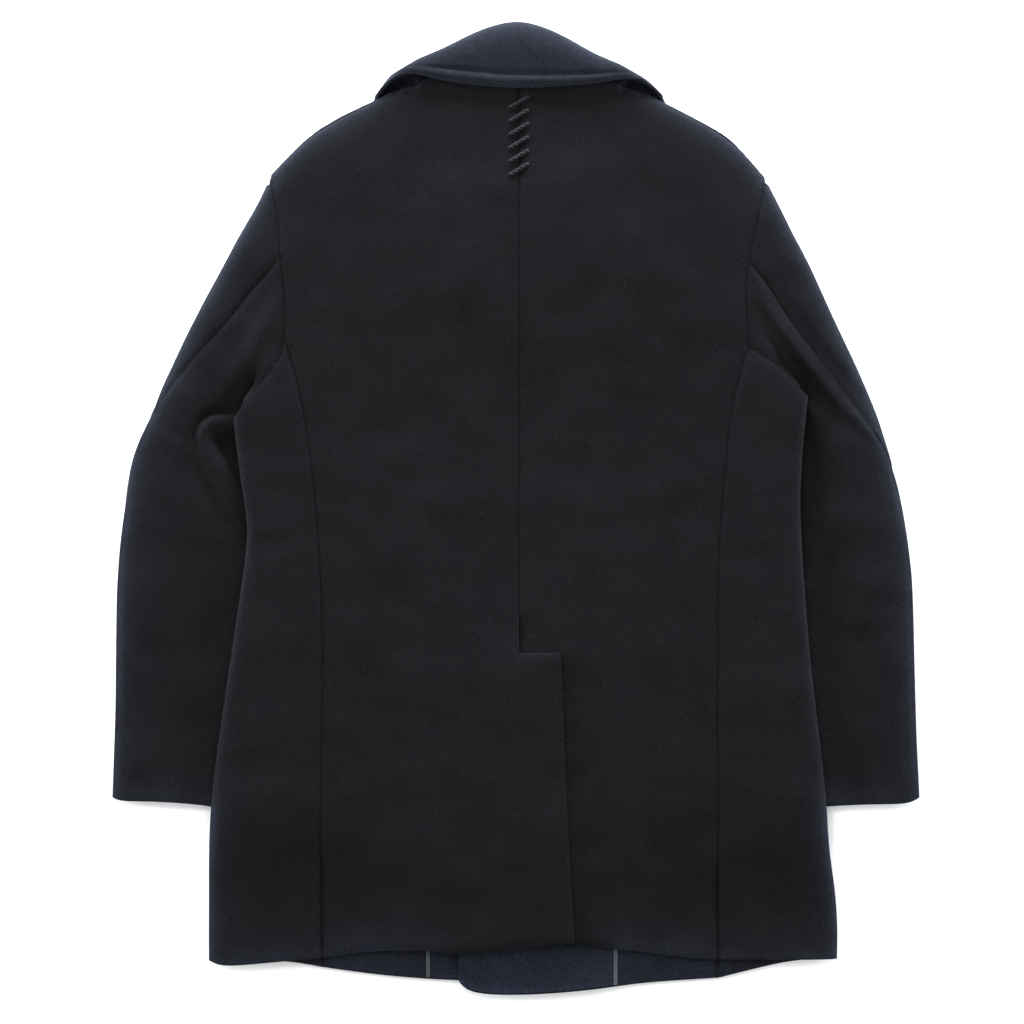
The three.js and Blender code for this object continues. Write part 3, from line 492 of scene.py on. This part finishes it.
# %% One stitch, and rows of it
def make_bead():
    bpy.ops.object.select_all(action="DESELECT")
    bpy.ops.mesh.primitive_uv_sphere_add(segments=8, ring_count=5, radius=1)
    bead = bpy.context.active_object
    bead.name = "bead"
    bpy.ops.object.mode_set(mode="EDIT")
    bpy.ops.mesh.select_all(action="SELECT")
    bpy.ops.transform.rotate(value=math.pi / 2, orient_axis="Y", center_override=(0, 0, 0))
    bpy.ops.transform.resize(value=(0.5, 0.5, 0.4), center_override=(0, 0, 0))
    bpy.ops.object.mode_set(mode="OBJECT")
    bpy.ops.object.shade_smooth()
    return bead


bead = make_bead()


def evenly(line, step):
    """Places every step mm along a line of points, with the direction there."""
    line = np.array(line, float)
    lengths = np.linalg.norm(np.diff(line, axis=0), axis=1)
    done = np.concatenate([[0], np.cumsum(lengths)])
    for at in np.arange(step / 2, done[-1], step):
        k = min(np.searchsorted(done, at, side="right") - 1, len(lengths) - 1)
        direction = (line[k + 1] - line[k]) / lengths[k]
        yield line[k] + direction * (at - done[k]), direction


def joined(name, meshes):
    """One piece from several meshes."""
    parts = []
    for mesh in meshes:
        part = bpy.data.objects.new(name, mesh)
        bpy.context.scene.collection.objects.link(part)
        parts.append(part)
    only(*parts)
    bpy.ops.object.join()
    parts[0].name = name
    return parts[0]


def stitch_row(name, lines, length, width, step, sink=0.12, turn=0.0):
    """A row of beads along lines in mm; sink is how deep they sit, turn their angle to the line."""
    meshes = []
    for line in lines:
        for place, direction in evenly(line, step):
            spot, normal = plumb(*place)
            if spot is None or normal.z < 0.2:
                continue
            along = Vector((*direction, 0))
            along.rotate(Matrix.Rotation(turn, 3, "Z"))
            along = (along - normal * along.dot(normal)).normalized()
            side = normal.cross(along)
            frame_at = Matrix((along * length, side * width, normal * width)).transposed().to_4x4()
            frame_at.translation = spot - normal * sink * MM
            mesh = bead.data.copy()
            mesh.transform(frame_at @ Matrix.Scale(MM, 4))
            meshes.append(mesh)
    row = joined(name, meshes)
    print(name, len(meshes), "stitches")
    return row


# %% [markdown]
# The hem, the cuffs, the vent and the collar are held by rows of their own. Each line follows its edge
# at the distance a presser foot or a thumb would keep.

# %% Lines of sewing
HEM_LINES = [
    [(-280, -407), (-268, -410), (-251, -409.5), (-214, -406.2), (-181, -403.4)],
    [(-177, -403.2), (-145, -398.6), (-107, -396), (-77, -396.6), (-48, -399.6), (-19, -396.1),
     (20, -392.5), (40, -390.5)],
    [(60, -391.5), (81, -393.8), (123, -398.4), (159, -403.4), (184, -404.4)],
    [(189, -404.6), (258, -404.8), (292, -404.4)],
]
CUFF_LINES = [
    [(-368, -258), (-326, -260.4), (-301, -262.2), (-284, -265)],
    [(362, -262), (315, -262.7), (288, -265)],
]
CUFF_TOP_LINES = [
    [(-363, -175.5), (-313, -177.3), (-274, -180)],
    [(281, -181.5), (315, -179.2), (366, -177.4)],
]
VENT_LINE = [(29.6, -137), (33.2, -232.5), (36.8, -311.7), (41.6, -389)]
VENT_TOP_LINE = [(4.4, -135.4), (39, -135.6)]
BAR_TACK_LINE = [(12, -117.5), (18, -117.5)]
COLLAR_LINE = [(-98, 406), (-77, 404), (-46, 401.4), (-14.7, 398.6), (29, 397.9), (71, 398.3), (103, 400)]

# Columns: name, lines, length and width of a bead and the step from one to the next, all in mm.
ROWS = [
    ("hem_stitches", HEM_LINES, 2.2, 0.6, 5.2),
    ("cuff_stitches", CUFF_LINES, 2.0, 0.55, 5.2),
    ("cuff_turn_stitches", CUFF_TOP_LINES, 2.2, 0.4, 3.6),
    ("vent_stitches", [VENT_LINE], 1.4, 0.6, 6.2),
    ("vent_top_stitches", [VENT_TOP_LINE], 2.2, 0.6, 3.4),
    ("collar_stitches", [COLLAR_LINE], 2.4, 0.5, 3.8),
]
rows = {name: stitch_row(name, *values) for name, *values in ROWS}
rows["bar_tack"] = stitch_row("bar_tack", [BAR_TACK_LINE], 3.6, 0.7, 0.8, turn=math.pi / 2)
bpy.data.objects.remove(bead)

# %% [markdown]
# ## Whip stitches at the nape
#
# Six plain whip stitches in thick dull thread cross the centre-back seam under the collar. Thread is
# plied, so each is made of two strands wound round each other along an arch that starts and ends under
# the cloth.

# %% Plied thread
STITCH_REACH = (9.2, 5.6)
STITCH_PLACES = [(2.8, 373.0 - 12.4 * number) for number in range(6)]
STRAND = 1.25
TURNS = 2.6
WOUND = (0.7, 0.6)  # how far a strand leaves the middle of the thread, sideways and up
ARCH = 2.2
SUNK = 1.7


def strand(name, centre, phase):
    """One strand of a stitch, as a tube."""
    curve = bpy.data.curves.new(name, "CURVE")
    curve.dimensions = "3D"
    curve.bevel_depth = STRAND * MM
    curve.bevel_resolution = 3
    steps = 40
    line = curve.splines.new("POLY")
    line.points.add(steps)
    along = Vector((*STITCH_REACH, 0)).normalized()
    for number in range(steps + 1):
        share = number / steps
        x = centre[0] + STITCH_REACH[0] * (2 * share - 1)
        y = centre[1] + STITCH_REACH[1] * (2 * share - 1)
        ground = plumb(x, y)[0].z
        arch = ARCH * math.sin(math.pi * share) ** 0.4 - SUNK
        wound = phase + 2 * math.pi * TURNS * share
        side = Vector((-along.y, along.x, 0)) * math.cos(wound) * WOUND[0] * MM
        up = WOUND[1] * MM * math.sin(wound)
        line.points[number].co = (x * MM + side.x, y * MM + side.y, ground + arch * MM + up, 1)
    piece = bpy.data.objects.new(name, curve)
    bpy.context.scene.collection.objects.link(piece)
    only(piece)
    bpy.ops.object.convert(target="MESH")
    bpy.ops.object.shade_smooth()
    mesh = bpy.context.active_object.data.copy()
    bpy.data.objects.remove(bpy.context.active_object)
    return mesh


strands = [strand("strand", centre, phase) for centre in STITCH_PLACES for phase in (0, math.pi)]
nape = joined("nape_stitches", strands)
print("nape stitches:", triangles(nape), "triangles")

# %% [markdown]
# ## Buttons
#
# The buttons face the table. Each is turned from a profile with a raised rim and a dished middle, drilled
# with four holes and sewn on with crossed thread. One is spun and drilled, and the other five are copies
# with a mesh of their own.

# %% A button
BUTTON_PROFILE = [(0, 3.6), (12.2, 3.6), (13.7, 3.0), (14.3, 2.2), (14.3, 1.2), (13.8, 0.5), (12.8, 0.12),
                  (11.6, 0.1), (10.6, 0.45), (9.9, 0.95), (8.8, 1.2), (0, 1.2)]


def spun(name, profile, steps):
    """A solid of revolution about z from a profile of (radius, height) in mm."""
    mesh = bpy.data.meshes.new(name)
    edges = [(k, k + 1) for k in range(len(profile) - 1)]
    mesh.from_pydata([(r * MM, 0, z * MM) for r, z in profile], edges, [])
    piece = bpy.data.objects.new(name, mesh)
    bpy.context.scene.collection.objects.link(piece)
    only(piece)
    bpy.ops.object.mode_set(mode="EDIT")
    bpy.ops.mesh.select_all(action="SELECT")
    bpy.ops.mesh.spin(steps=steps, angle=2 * math.pi, center=(0, 0, 0), axis=(0, 0, 1))
    bpy.ops.mesh.select_all(action="SELECT")
    bpy.ops.mesh.remove_doubles(threshold=0.01 * MM)
    bpy.ops.mesh.normals_make_consistent(inside=False)
    bpy.ops.object.mode_set(mode="OBJECT")
    return piece


def drill(piece, x, y):
    """Makes a round hole through a piece."""
    bpy.ops.object.select_all(action="DESELECT")
    place = (x * MM, y * MM, 2 * MM)
    bpy.ops.mesh.primitive_cylinder_add(vertices=14, radius=1.1 * MM, depth=12 * MM, location=place)
    bit = bpy.context.active_object
    finish_modifier(piece, "BOOLEAN", object=bit, operation="DIFFERENCE", solver="EXACT")
    bpy.data.objects.remove(bit)


HOLE = 2.3
button_master = spun("button_master", BUTTON_PROFILE, 48)
for x in (-HOLE, HOLE):
    for y in (-HOLE, HOLE):
        drill(button_master, x, y)
finish_modifier(button_master, "BEVEL", width=0.15 * MM, segments=2, limit_method="ANGLE",
                angle_limit=math.radians(50))
only(button_master)
bpy.ops.object.shade_smooth_by_angle(angle=math.radians(35))


def thread_bar(a, b, z):
    """A bar of sewing thread between two holes of a button."""
    bpy.ops.object.select_all(action="DESELECT")
    middle = [(p + q) / 2 * MM for p, q in zip(a, b)]
    length = math.dist(a, b)
    bpy.ops.mesh.primitive_cylinder_add(vertices=10, radius=0.55 * MM, depth=length * MM, location=(0, 0, 0))
    bar = bpy.context.active_object
    bpy.ops.object.mode_set(mode="EDIT")
    bpy.ops.mesh.select_all(action="SELECT")
    bpy.ops.transform.rotate(value=math.pi / 2, orient_axis="Y", center_override=(0, 0, 0))
    bpy.ops.mesh.bevel(offset=0.35 * MM, segments=2, affect="EDGES")
    bpy.ops.object.mode_set(mode="OBJECT")
    turn = Matrix.Rotation(math.atan2(b[1] - a[1], b[0] - a[0]), 4, "Z")
    bar.data.transform(Matrix.Translation((middle[0], middle[1], z * MM)) @ turn)
    mesh = bar.data.copy()
    bpy.data.objects.remove(bar)
    return mesh


def shank():
    """The wound thread between a button and the coat."""
    rings = [(0, 3.2), (2.6, 3.2), (2.1, 3.7), (2.5, 4.1), (2.0, 4.5), (2.4, 4.9), (2.2, 5.1), (0, 5.1)]
    piece = spun("shank", rings, 16)
    mesh = piece.data.copy()
    bpy.data.objects.remove(piece)
    return mesh


bars = [thread_bar((-HOLE, -HOLE), (HOLE, HOLE), 0.95), thread_bar((-HOLE, HOLE), (HOLE, -HOLE), 0.75)]
thread_master = joined("thread_master", bars + [shank()])
only(thread_master)
bpy.ops.object.shade_smooth()

buttons, button_threads = [], []
MASTERS = ((button_master, "round_button", buttons), (thread_master, "button_thread", button_threads))
for number in range(1, 7):
    low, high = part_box(f"button_{number}")
    centre = Matrix.Translation(((low.x + high.x) / 2, (low.y + high.y) / 2, 0))
    for master, name, pieces in MASTERS:
        copy = bpy.data.objects.new(f"{name}_{number}", master.data.copy())
        copy.data.transform(centre)
        bpy.context.scene.collection.objects.link(copy)
        pieces.append(copy)
bpy.data.objects.remove(button_master)
bpy.data.objects.remove(thread_master)
print("buttons:", len(buttons), "of", triangles(buttons[0]), "triangles")

# %% [markdown]
# ## Milled wool
#
# Melton is woven, then milled until the weave closes under a short felted nap. From a step away it is
# almost black, slightly blue, with paler flecks of lint. Up close it is a mat of fibres lying every
# way. The nap is a node group that mixes slow mottling, fine fibres and rare specks, with painted shade
# darkening the seams and a painted sheen making the outline paler. It puts out a colour, a roughness and
# a height, and each material that uses it sets its own sheen, which is broad and faint, as short upright
# fibres make it.

# %% Node helpers
def link(tree, source, target):
    tree.links.new(source, target)


def add_node(tree, kind, **values):
    node = tree.nodes.new(kind)
    for name, value in values.items():
        setattr(node, name, value)
    return node


def noise(tree, place, scale, detail=3.0, roughness=0.55):
    node = add_node(tree, "ShaderNodeTexNoise")
    node.inputs["Scale"].default_value = scale
    node.inputs["Detail"].default_value = detail
    node.inputs["Roughness"].default_value = roughness
    link(tree, place, node.inputs["Vector"])
    return node.outputs["Fac"]


def ranged(tree, value, low, high, to_low=0.0, to_high=1.0):
    node = add_node(tree, "ShaderNodeMapRange")
    for socket, number in zip(node.inputs[1:5], (low, high, to_low, to_high)):
        socket.default_value = number
    link(tree, value, node.inputs[0])
    return node.outputs[0]


def maths(tree, operation, a, b):
    node = add_node(tree, "ShaderNodeMath", operation=operation)
    for socket, value in zip(node.inputs, (a, b)):
        if isinstance(value, (int, float)):
            socket.default_value = value
        else:
            link(tree, value, socket)
    return node.outputs[0]


def mixed(tree, share, a, b):
    """Mix of two colours by a share."""
    node = add_node(tree, "ShaderNodeMix", data_type="RGBA")
    link(tree, share, node.inputs[0])
    for socket, value in ((node.inputs[6], a), (node.inputs[7], b)):
        if isinstance(value, tuple):
            socket.default_value = value
        else:
            link(tree, value, socket)
    return node.outputs[2]


# %% The nap group
PAINTED_SHEEN_GAIN = (3.0, 3.6, 5.2, 1)  # how many times paler the painted sheen makes the cloth at most: red, green, blue


def times(tree, colour):
    """A node that multiplies a colour; its second colour is still free."""
    node = add_node(tree, "ShaderNodeMix", data_type="RGBA", blend_type="MULTIPLY")
    node.inputs[0].default_value = 1
    link(tree, colour, node.inputs[6])
    return node


def make_nap():
    nap = bpy.data.node_groups.new("felted nap", "ShaderNodeTree")
    # The last two inputs carry the painted shade of the seams and the painted sheen of the outline.
    inputs = (("Base", "NodeSocketColor"), ("Fleck", "NodeSocketColor"), ("Lint", "NodeSocketFloat"),
              ("Groove shade", "NodeSocketFloat"), ("Rim sheen", "NodeSocketFloat"))
    for name, kind in inputs:
        nap.interface.new_socket(name, in_out="INPUT", socket_type=kind)
    outputs = (("Color", "NodeSocketColor"), ("Roughness", "NodeSocketFloat"), ("Height", "NodeSocketFloat"))
    for name, kind in outputs:
        nap.interface.new_socket(name, in_out="OUTPUT", socket_type=kind)
    given = add_node(nap, "NodeGroupInput")
    result = add_node(nap, "NodeGroupOutput")
    place = add_node(nap, "ShaderNodeTexCoord").outputs["Object"]

    mottle = ranged(nap, noise(nap, place, 26, 4), 0.3, 0.7)
    mat = noise(nap, place, 900, 4, 0.7)
    stretch = add_node(nap, "ShaderNodeMapping")
    stretch.inputs["Scale"].default_value = (1.0, 0.22, 1.0)
    stretch.inputs["Rotation"].default_value = (0, 0, 0.5)
    link(nap, place, stretch.inputs["Vector"])
    fibres = noise(nap, stretch.outputs[0], 1500, 3, 0.7)

    cells = add_node(nap, "ShaderNodeTexVoronoi")
    cells.inputs["Scale"].default_value = 430
    link(nap, place, cells.inputs["Vector"])
    rare = ranged(nap, add_separate(nap, cells.outputs["Color"]), 0.965, 0.97)
    dot = ranged(nap, cells.outputs["Distance"], 0.2, 0.12)
    lint = maths(nap, "MULTIPLY", maths(nap, "MULTIPLY", rare, dot), given.outputs["Lint"])

    light = maths(nap, "ADD", maths(nap, "MULTIPLY", mottle, 0.12), maths(nap, "MULTIPLY", fibres, 0.6))
    light = maths(nap, "ADD", light, maths(nap, "MULTIPLY", noise(nap, place, 620, 2, 0.6), 0.62))
    shaded = times(nap, given.outputs["Base"])
    grey = add_node(nap, "ShaderNodeCombineColor")
    level = ranged(nap, light, 0.36, 1.0, 0.0, 2.1)
    # Painted shade: the colour is darkened beside the seams.
    level = maths(nap, "MULTIPLY", level, ranged(nap, given.outputs["Groove shade"], 0.35, 0.95, 1.0, 0.42))
    for socket in grey.inputs:
        link(nap, level, socket)
    link(nap, grey.outputs[0], shaded.inputs[7])
    # Painted sheen: the colour is made paler and bluer towards the outline.
    painted_sheen = times(nap, shaded.outputs[2])
    link(nap, mixed(nap, given.outputs["Rim sheen"], (1, 1, 1, 1), PAINTED_SHEEN_GAIN), painted_sheen.inputs[7])
    link(nap, mixed(nap, lint, painted_sheen.outputs[2], given.outputs["Fleck"]), result.inputs["Color"])
    link(nap, ranged(nap, mat, 0.3, 0.7, 0.85, 1.0), result.inputs["Roughness"])
    height = maths(nap, "ADD", maths(nap, "MULTIPLY", mat, 0.7), maths(nap, "MULTIPLY", fibres, 0.5))
    link(nap, height, result.inputs["Height"])
    return nap


def add_separate(tree, colour):
    """The red part of a colour."""
    node = add_node(tree, "ShaderNodeSeparateColor")
    link(tree, colour, node.inputs[0])
    return node.outputs[0]


nap = make_nap()
print("nap group:", len(nap.nodes), "nodes")

# %% Materials
def new_material(name):
    material = bpy.data.materials.new(name)
    material.use_nodes = True
    return material, material.node_tree, material.node_tree.nodes["Principled BSDF"]


def bump(tree, shader, height, depth, strength):
    node = add_node(tree, "ShaderNodeBump")
    node.inputs["Distance"].default_value = depth
    node.inputs["Strength"].default_value = strength
    link(tree, height, node.inputs["Height"])
    link(tree, node.outputs[0], shader.inputs["Normal"])


SHEEN_TINT = (0.75, 0.86, 1.0, 1)


def napped(name, base, fleck, lint, sheen, sheen_roughness, depth=0.0005):
    """Milled wool of one colour, with its share of lint and its sheen."""
    material, tree, shader = new_material(name)
    group = add_node(tree, "ShaderNodeGroup", node_tree=nap)
    group.inputs["Base"].default_value = base
    group.inputs["Fleck"].default_value = fleck
    group.inputs["Lint"].default_value = lint
    # The painted shade of the seams and the painted sheen of the outline, kept on the points.
    groove_shade = add_node(tree, "ShaderNodeAttribute", attribute_name="groove_shade")
    link(tree, groove_shade.outputs["Fac"], group.inputs["Groove shade"])
    rim_sheen = add_node(tree, "ShaderNodeAttribute", attribute_name="rim_sheen")
    link(tree, rim_sheen.outputs["Fac"], group.inputs["Rim sheen"])
    link(tree, group.outputs["Color"], shader.inputs["Base Color"])
    link(tree, group.outputs["Roughness"], shader.inputs["Roughness"])
    bump(tree, shader, group.outputs["Height"], depth, 0.6)
    shader.inputs["Sheen Weight"].default_value = sheen
    shader.inputs["Sheen Roughness"].default_value = sheen_roughness
    shader.inputs["Sheen Tint"].default_value = SHEEN_TINT
    shader.inputs["Specular IOR Level"].default_value = 0.04
    return material


wool = napped("milled wool", (0.0034, 0.0031, 0.0033, 1), (0.03, 0.032, 0.037, 1), 0.8, 0.028, 0.6)
# The facings' paler, bluer base is a painted glow of the light round the hem.
facing_wool = napped("facing wool", (0.0052, 0.0055, 0.0066, 1), (0.03, 0.032, 0.037, 1), 0.5, 0.034, 0.6)


def thread_material(name, base, roughness):
    """Twisted thread: fine diagonal ribs."""
    material, tree, shader = new_material(name)
    place = add_node(tree, "ShaderNodeTexCoord").outputs["Object"]
    ply = add_node(tree, "ShaderNodeTexWave", bands_direction="DIAGONAL")
    ply.inputs["Scale"].default_value = 700
    ply.inputs["Distortion"].default_value = 2
    link(tree, place, ply.inputs["Vector"])
    dark = tuple(0.72 * part for part in base) + (1,)
    link(tree, mixed(tree, ply.outputs["Fac"], dark, base + (1,)), shader.inputs["Base Color"])
    rough = ranged(tree, noise(tree, place, 2200), 0.3, 0.7, roughness - 0.1, roughness + 0.12)
    link(tree, rough, shader.inputs["Roughness"])
    bump(tree, shader, ply.outputs["Fac"], 0.0002, 0.6)
    shader.inputs["Specular IOR Level"].default_value = 0.1
    return material


thread = thread_material("sewing thread", (0.0085, 0.0088, 0.01), 0.8)
dark_thread = thread_material("thread of the cloth's tone", (0.0046, 0.0044, 0.0048), 0.9)
cord_thread = thread_material("plied thread", (0.0125, 0.0127, 0.0145), 0.85)


def tape_material():
    """Cotton tape: close ribs across its width, a little faded in patches."""
    material, tree, shader = new_material("binding tape")
    place = add_node(tree, "ShaderNodeTexCoord").outputs["Object"]
    ribs = add_node(tree, "ShaderNodeTexWave", bands_direction="Y")
    ribs.inputs["Scale"].default_value = 260
    ribs.inputs["Distortion"].default_value = 0.6
    link(tree, place, ribs.inputs["Vector"])
    worn = ranged(tree, noise(tree, place, 240, 4), 0.35, 0.7)
    woven = mixed(tree, ribs.outputs["Fac"], (0.017, 0.020, 0.025, 1), (0.042, 0.048, 0.057, 1))
    faded = mixed(tree, maths(tree, "MULTIPLY", worn, 0.5), woven, (0.05, 0.056, 0.065, 1))
    link(tree, faded, shader.inputs["Base Color"])
    link(tree, ranged(tree, worn, 0, 1, 0.75, 0.95), shader.inputs["Roughness"])
    bump(tree, shader, ribs.outputs["Fac"], 0.0002, 0.6)
    return material


def button_material():
    """Dark horn-like resin with faint veins and a gloss that varies in patches."""
    material, tree, shader = new_material("button resin")
    place = add_node(tree, "ShaderNodeTexCoord").outputs["Object"]
    veins = ranged(tree, noise(tree, place, 90, 6, 0.65), 0.42, 0.62)
    veined = mixed(tree, veins, (0.006, 0.006, 0.0075, 1), (0.022, 0.019, 0.018, 1))
    link(tree, veined, shader.inputs["Base Color"])
    link(tree, ranged(tree, noise(tree, place, 600, 4), 0.3, 0.7, 0.25, 0.45), shader.inputs["Roughness"])
    bump(tree, shader, noise(tree, place, 500, 3), 0.0001, 0.3)
    return material


tape = tape_material()
resin = button_material()
print("materials:", [material.name for material in bpy.data.materials])

# %% [markdown]
# ## Putting the materials on
#
# The panels are all cut from the same cloth. The facings are the same wool seen from its inner side,
# painted paler and bluer: a painted glow of the light round the hem. The hem, the cuffs and the vent's
# top are sewn in thread of the cloth's own tone, so that only dents show from a step away.

# %% Dress the pieces
for node, piece in cloth.items():
    kind = node.split("_")[0]
    piece.data.materials.append({"facing": facing_wool, "tape": tape}.get(kind, wool))
QUIET_ROWS = ("hem_stitches", "cuff_stitches", "vent_top_stitches")
for name, row in rows.items():
    row.data.materials.clear()
    row.data.materials.append(dark_thread if name in QUIET_ROWS else thread)
nape.data.materials.clear()
nape.data.materials.append(cord_thread)
for piece in buttons:
    piece.data.materials.clear()
    piece.data.materials.append(resin)
for piece in button_threads:
    piece.data.materials.clear()
    piece.data.materials.append(thread)

# %% [markdown]
# ## What moves with what, and what stands for what
#
# Nothing on the coat is jointed: cloth has no hinges, and it is handled as one piece. Each fine panel
# stands for its solid.

# %% Bodies
for node, piece in cloth.items():
    kind = node.split("_")[0]
    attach(piece, "root")
    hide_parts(node)
for name, row in {**rows, "nape_stitches": nape}.items():
    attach(row, "root")
for number, (button, sewing) in enumerate(zip(buttons, button_threads), 1):
    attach(button, "root")
    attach(sewing, "root")
    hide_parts(f"button_{number}")
print("pieces:", len(cloth) + len(rows) + len([nape]) + len(buttons) + len(button_threads))

# %% [markdown]
# ## The table and the light
#
# The coat lies on a plain white table in an evenly lit white room. Three wide lights stand low at its
# sides and head: they graze the cloth, so the round outer edges and the raised collar shine, the folds
# show, and the flat middle stays deep black. A fourth, high up, is weak. The shine of the outline and
# the collar is partly a painted sheen in the cloth's colour.

# %% Table and lights
bpy.ops.object.select_all(action="DESELECT")
bpy.ops.mesh.primitive_plane_add(size=8, location=(0, 0, -0.0003))
table = bpy.context.active_object
table.name = "table"
paper, paper_tree, paper_shader = new_material("white table")
paper_place = add_node(paper_tree, "ShaderNodeTexCoord").outputs["Object"]
grain = ranged(paper_tree, noise(paper_tree, paper_place, 40, 3), 0.3, 0.7)
paper_colour = mixed(paper_tree, grain, (0.9, 0.9, 0.9, 1), (0.93, 0.93, 0.93, 1))
link(paper_tree, paper_colour, paper_shader.inputs["Base Color"])
paper_shader.inputs["Roughness"].default_value = 0.9
table.data.materials.append(paper)

world = bpy.data.worlds.new("studio")
world.use_nodes = True
world.node_tree.nodes["Background"].inputs["Color"].default_value = (1.0, 1.0, 1.0, 1)
world.node_tree.nodes["Background"].inputs["Strength"].default_value = 0.8
bpy.context.scene.world = world


def soft_light(name, place, size, power, tint=(1, 1, 1)):
    """A wide area light aimed at the middle of the coat, not seen itself."""
    lamp = bpy.data.lights.new(name, "AREA")
    lamp.shape = "RECTANGLE"
    lamp.size, lamp.size_y = size
    lamp.energy = power
    lamp.color = tint
    holder = bpy.data.objects.new(name, lamp)
    holder.location = place
    holder.rotation_euler = (Vector((0, 0, 0)) - Vector(place)).to_track_quat("-Z", "Y").to_euler()
    holder.visible_camera = False
    bpy.context.scene.collection.objects.link(holder)


COOL = (0.85, 0.93, 1.0)
soft_light("left_light", (-2.4, 0.5, 0.32), (2.0, 0.44), 150, COOL)
soft_light("right_light", (2.4, 0.3, 0.32), (2.0, 0.44), 120, COOL)
soft_light("head_light", (0.1, 2.5, 0.36), (2.2, 0.5), 330, COOL)
soft_light("high_light", (-1.2, 1.4, 2.2), (1.0, 1.0), 30)

bpy.context.scene.view_settings.view_transform = "Standard"
bpy.context.scene.view_settings.exposure = 0.15
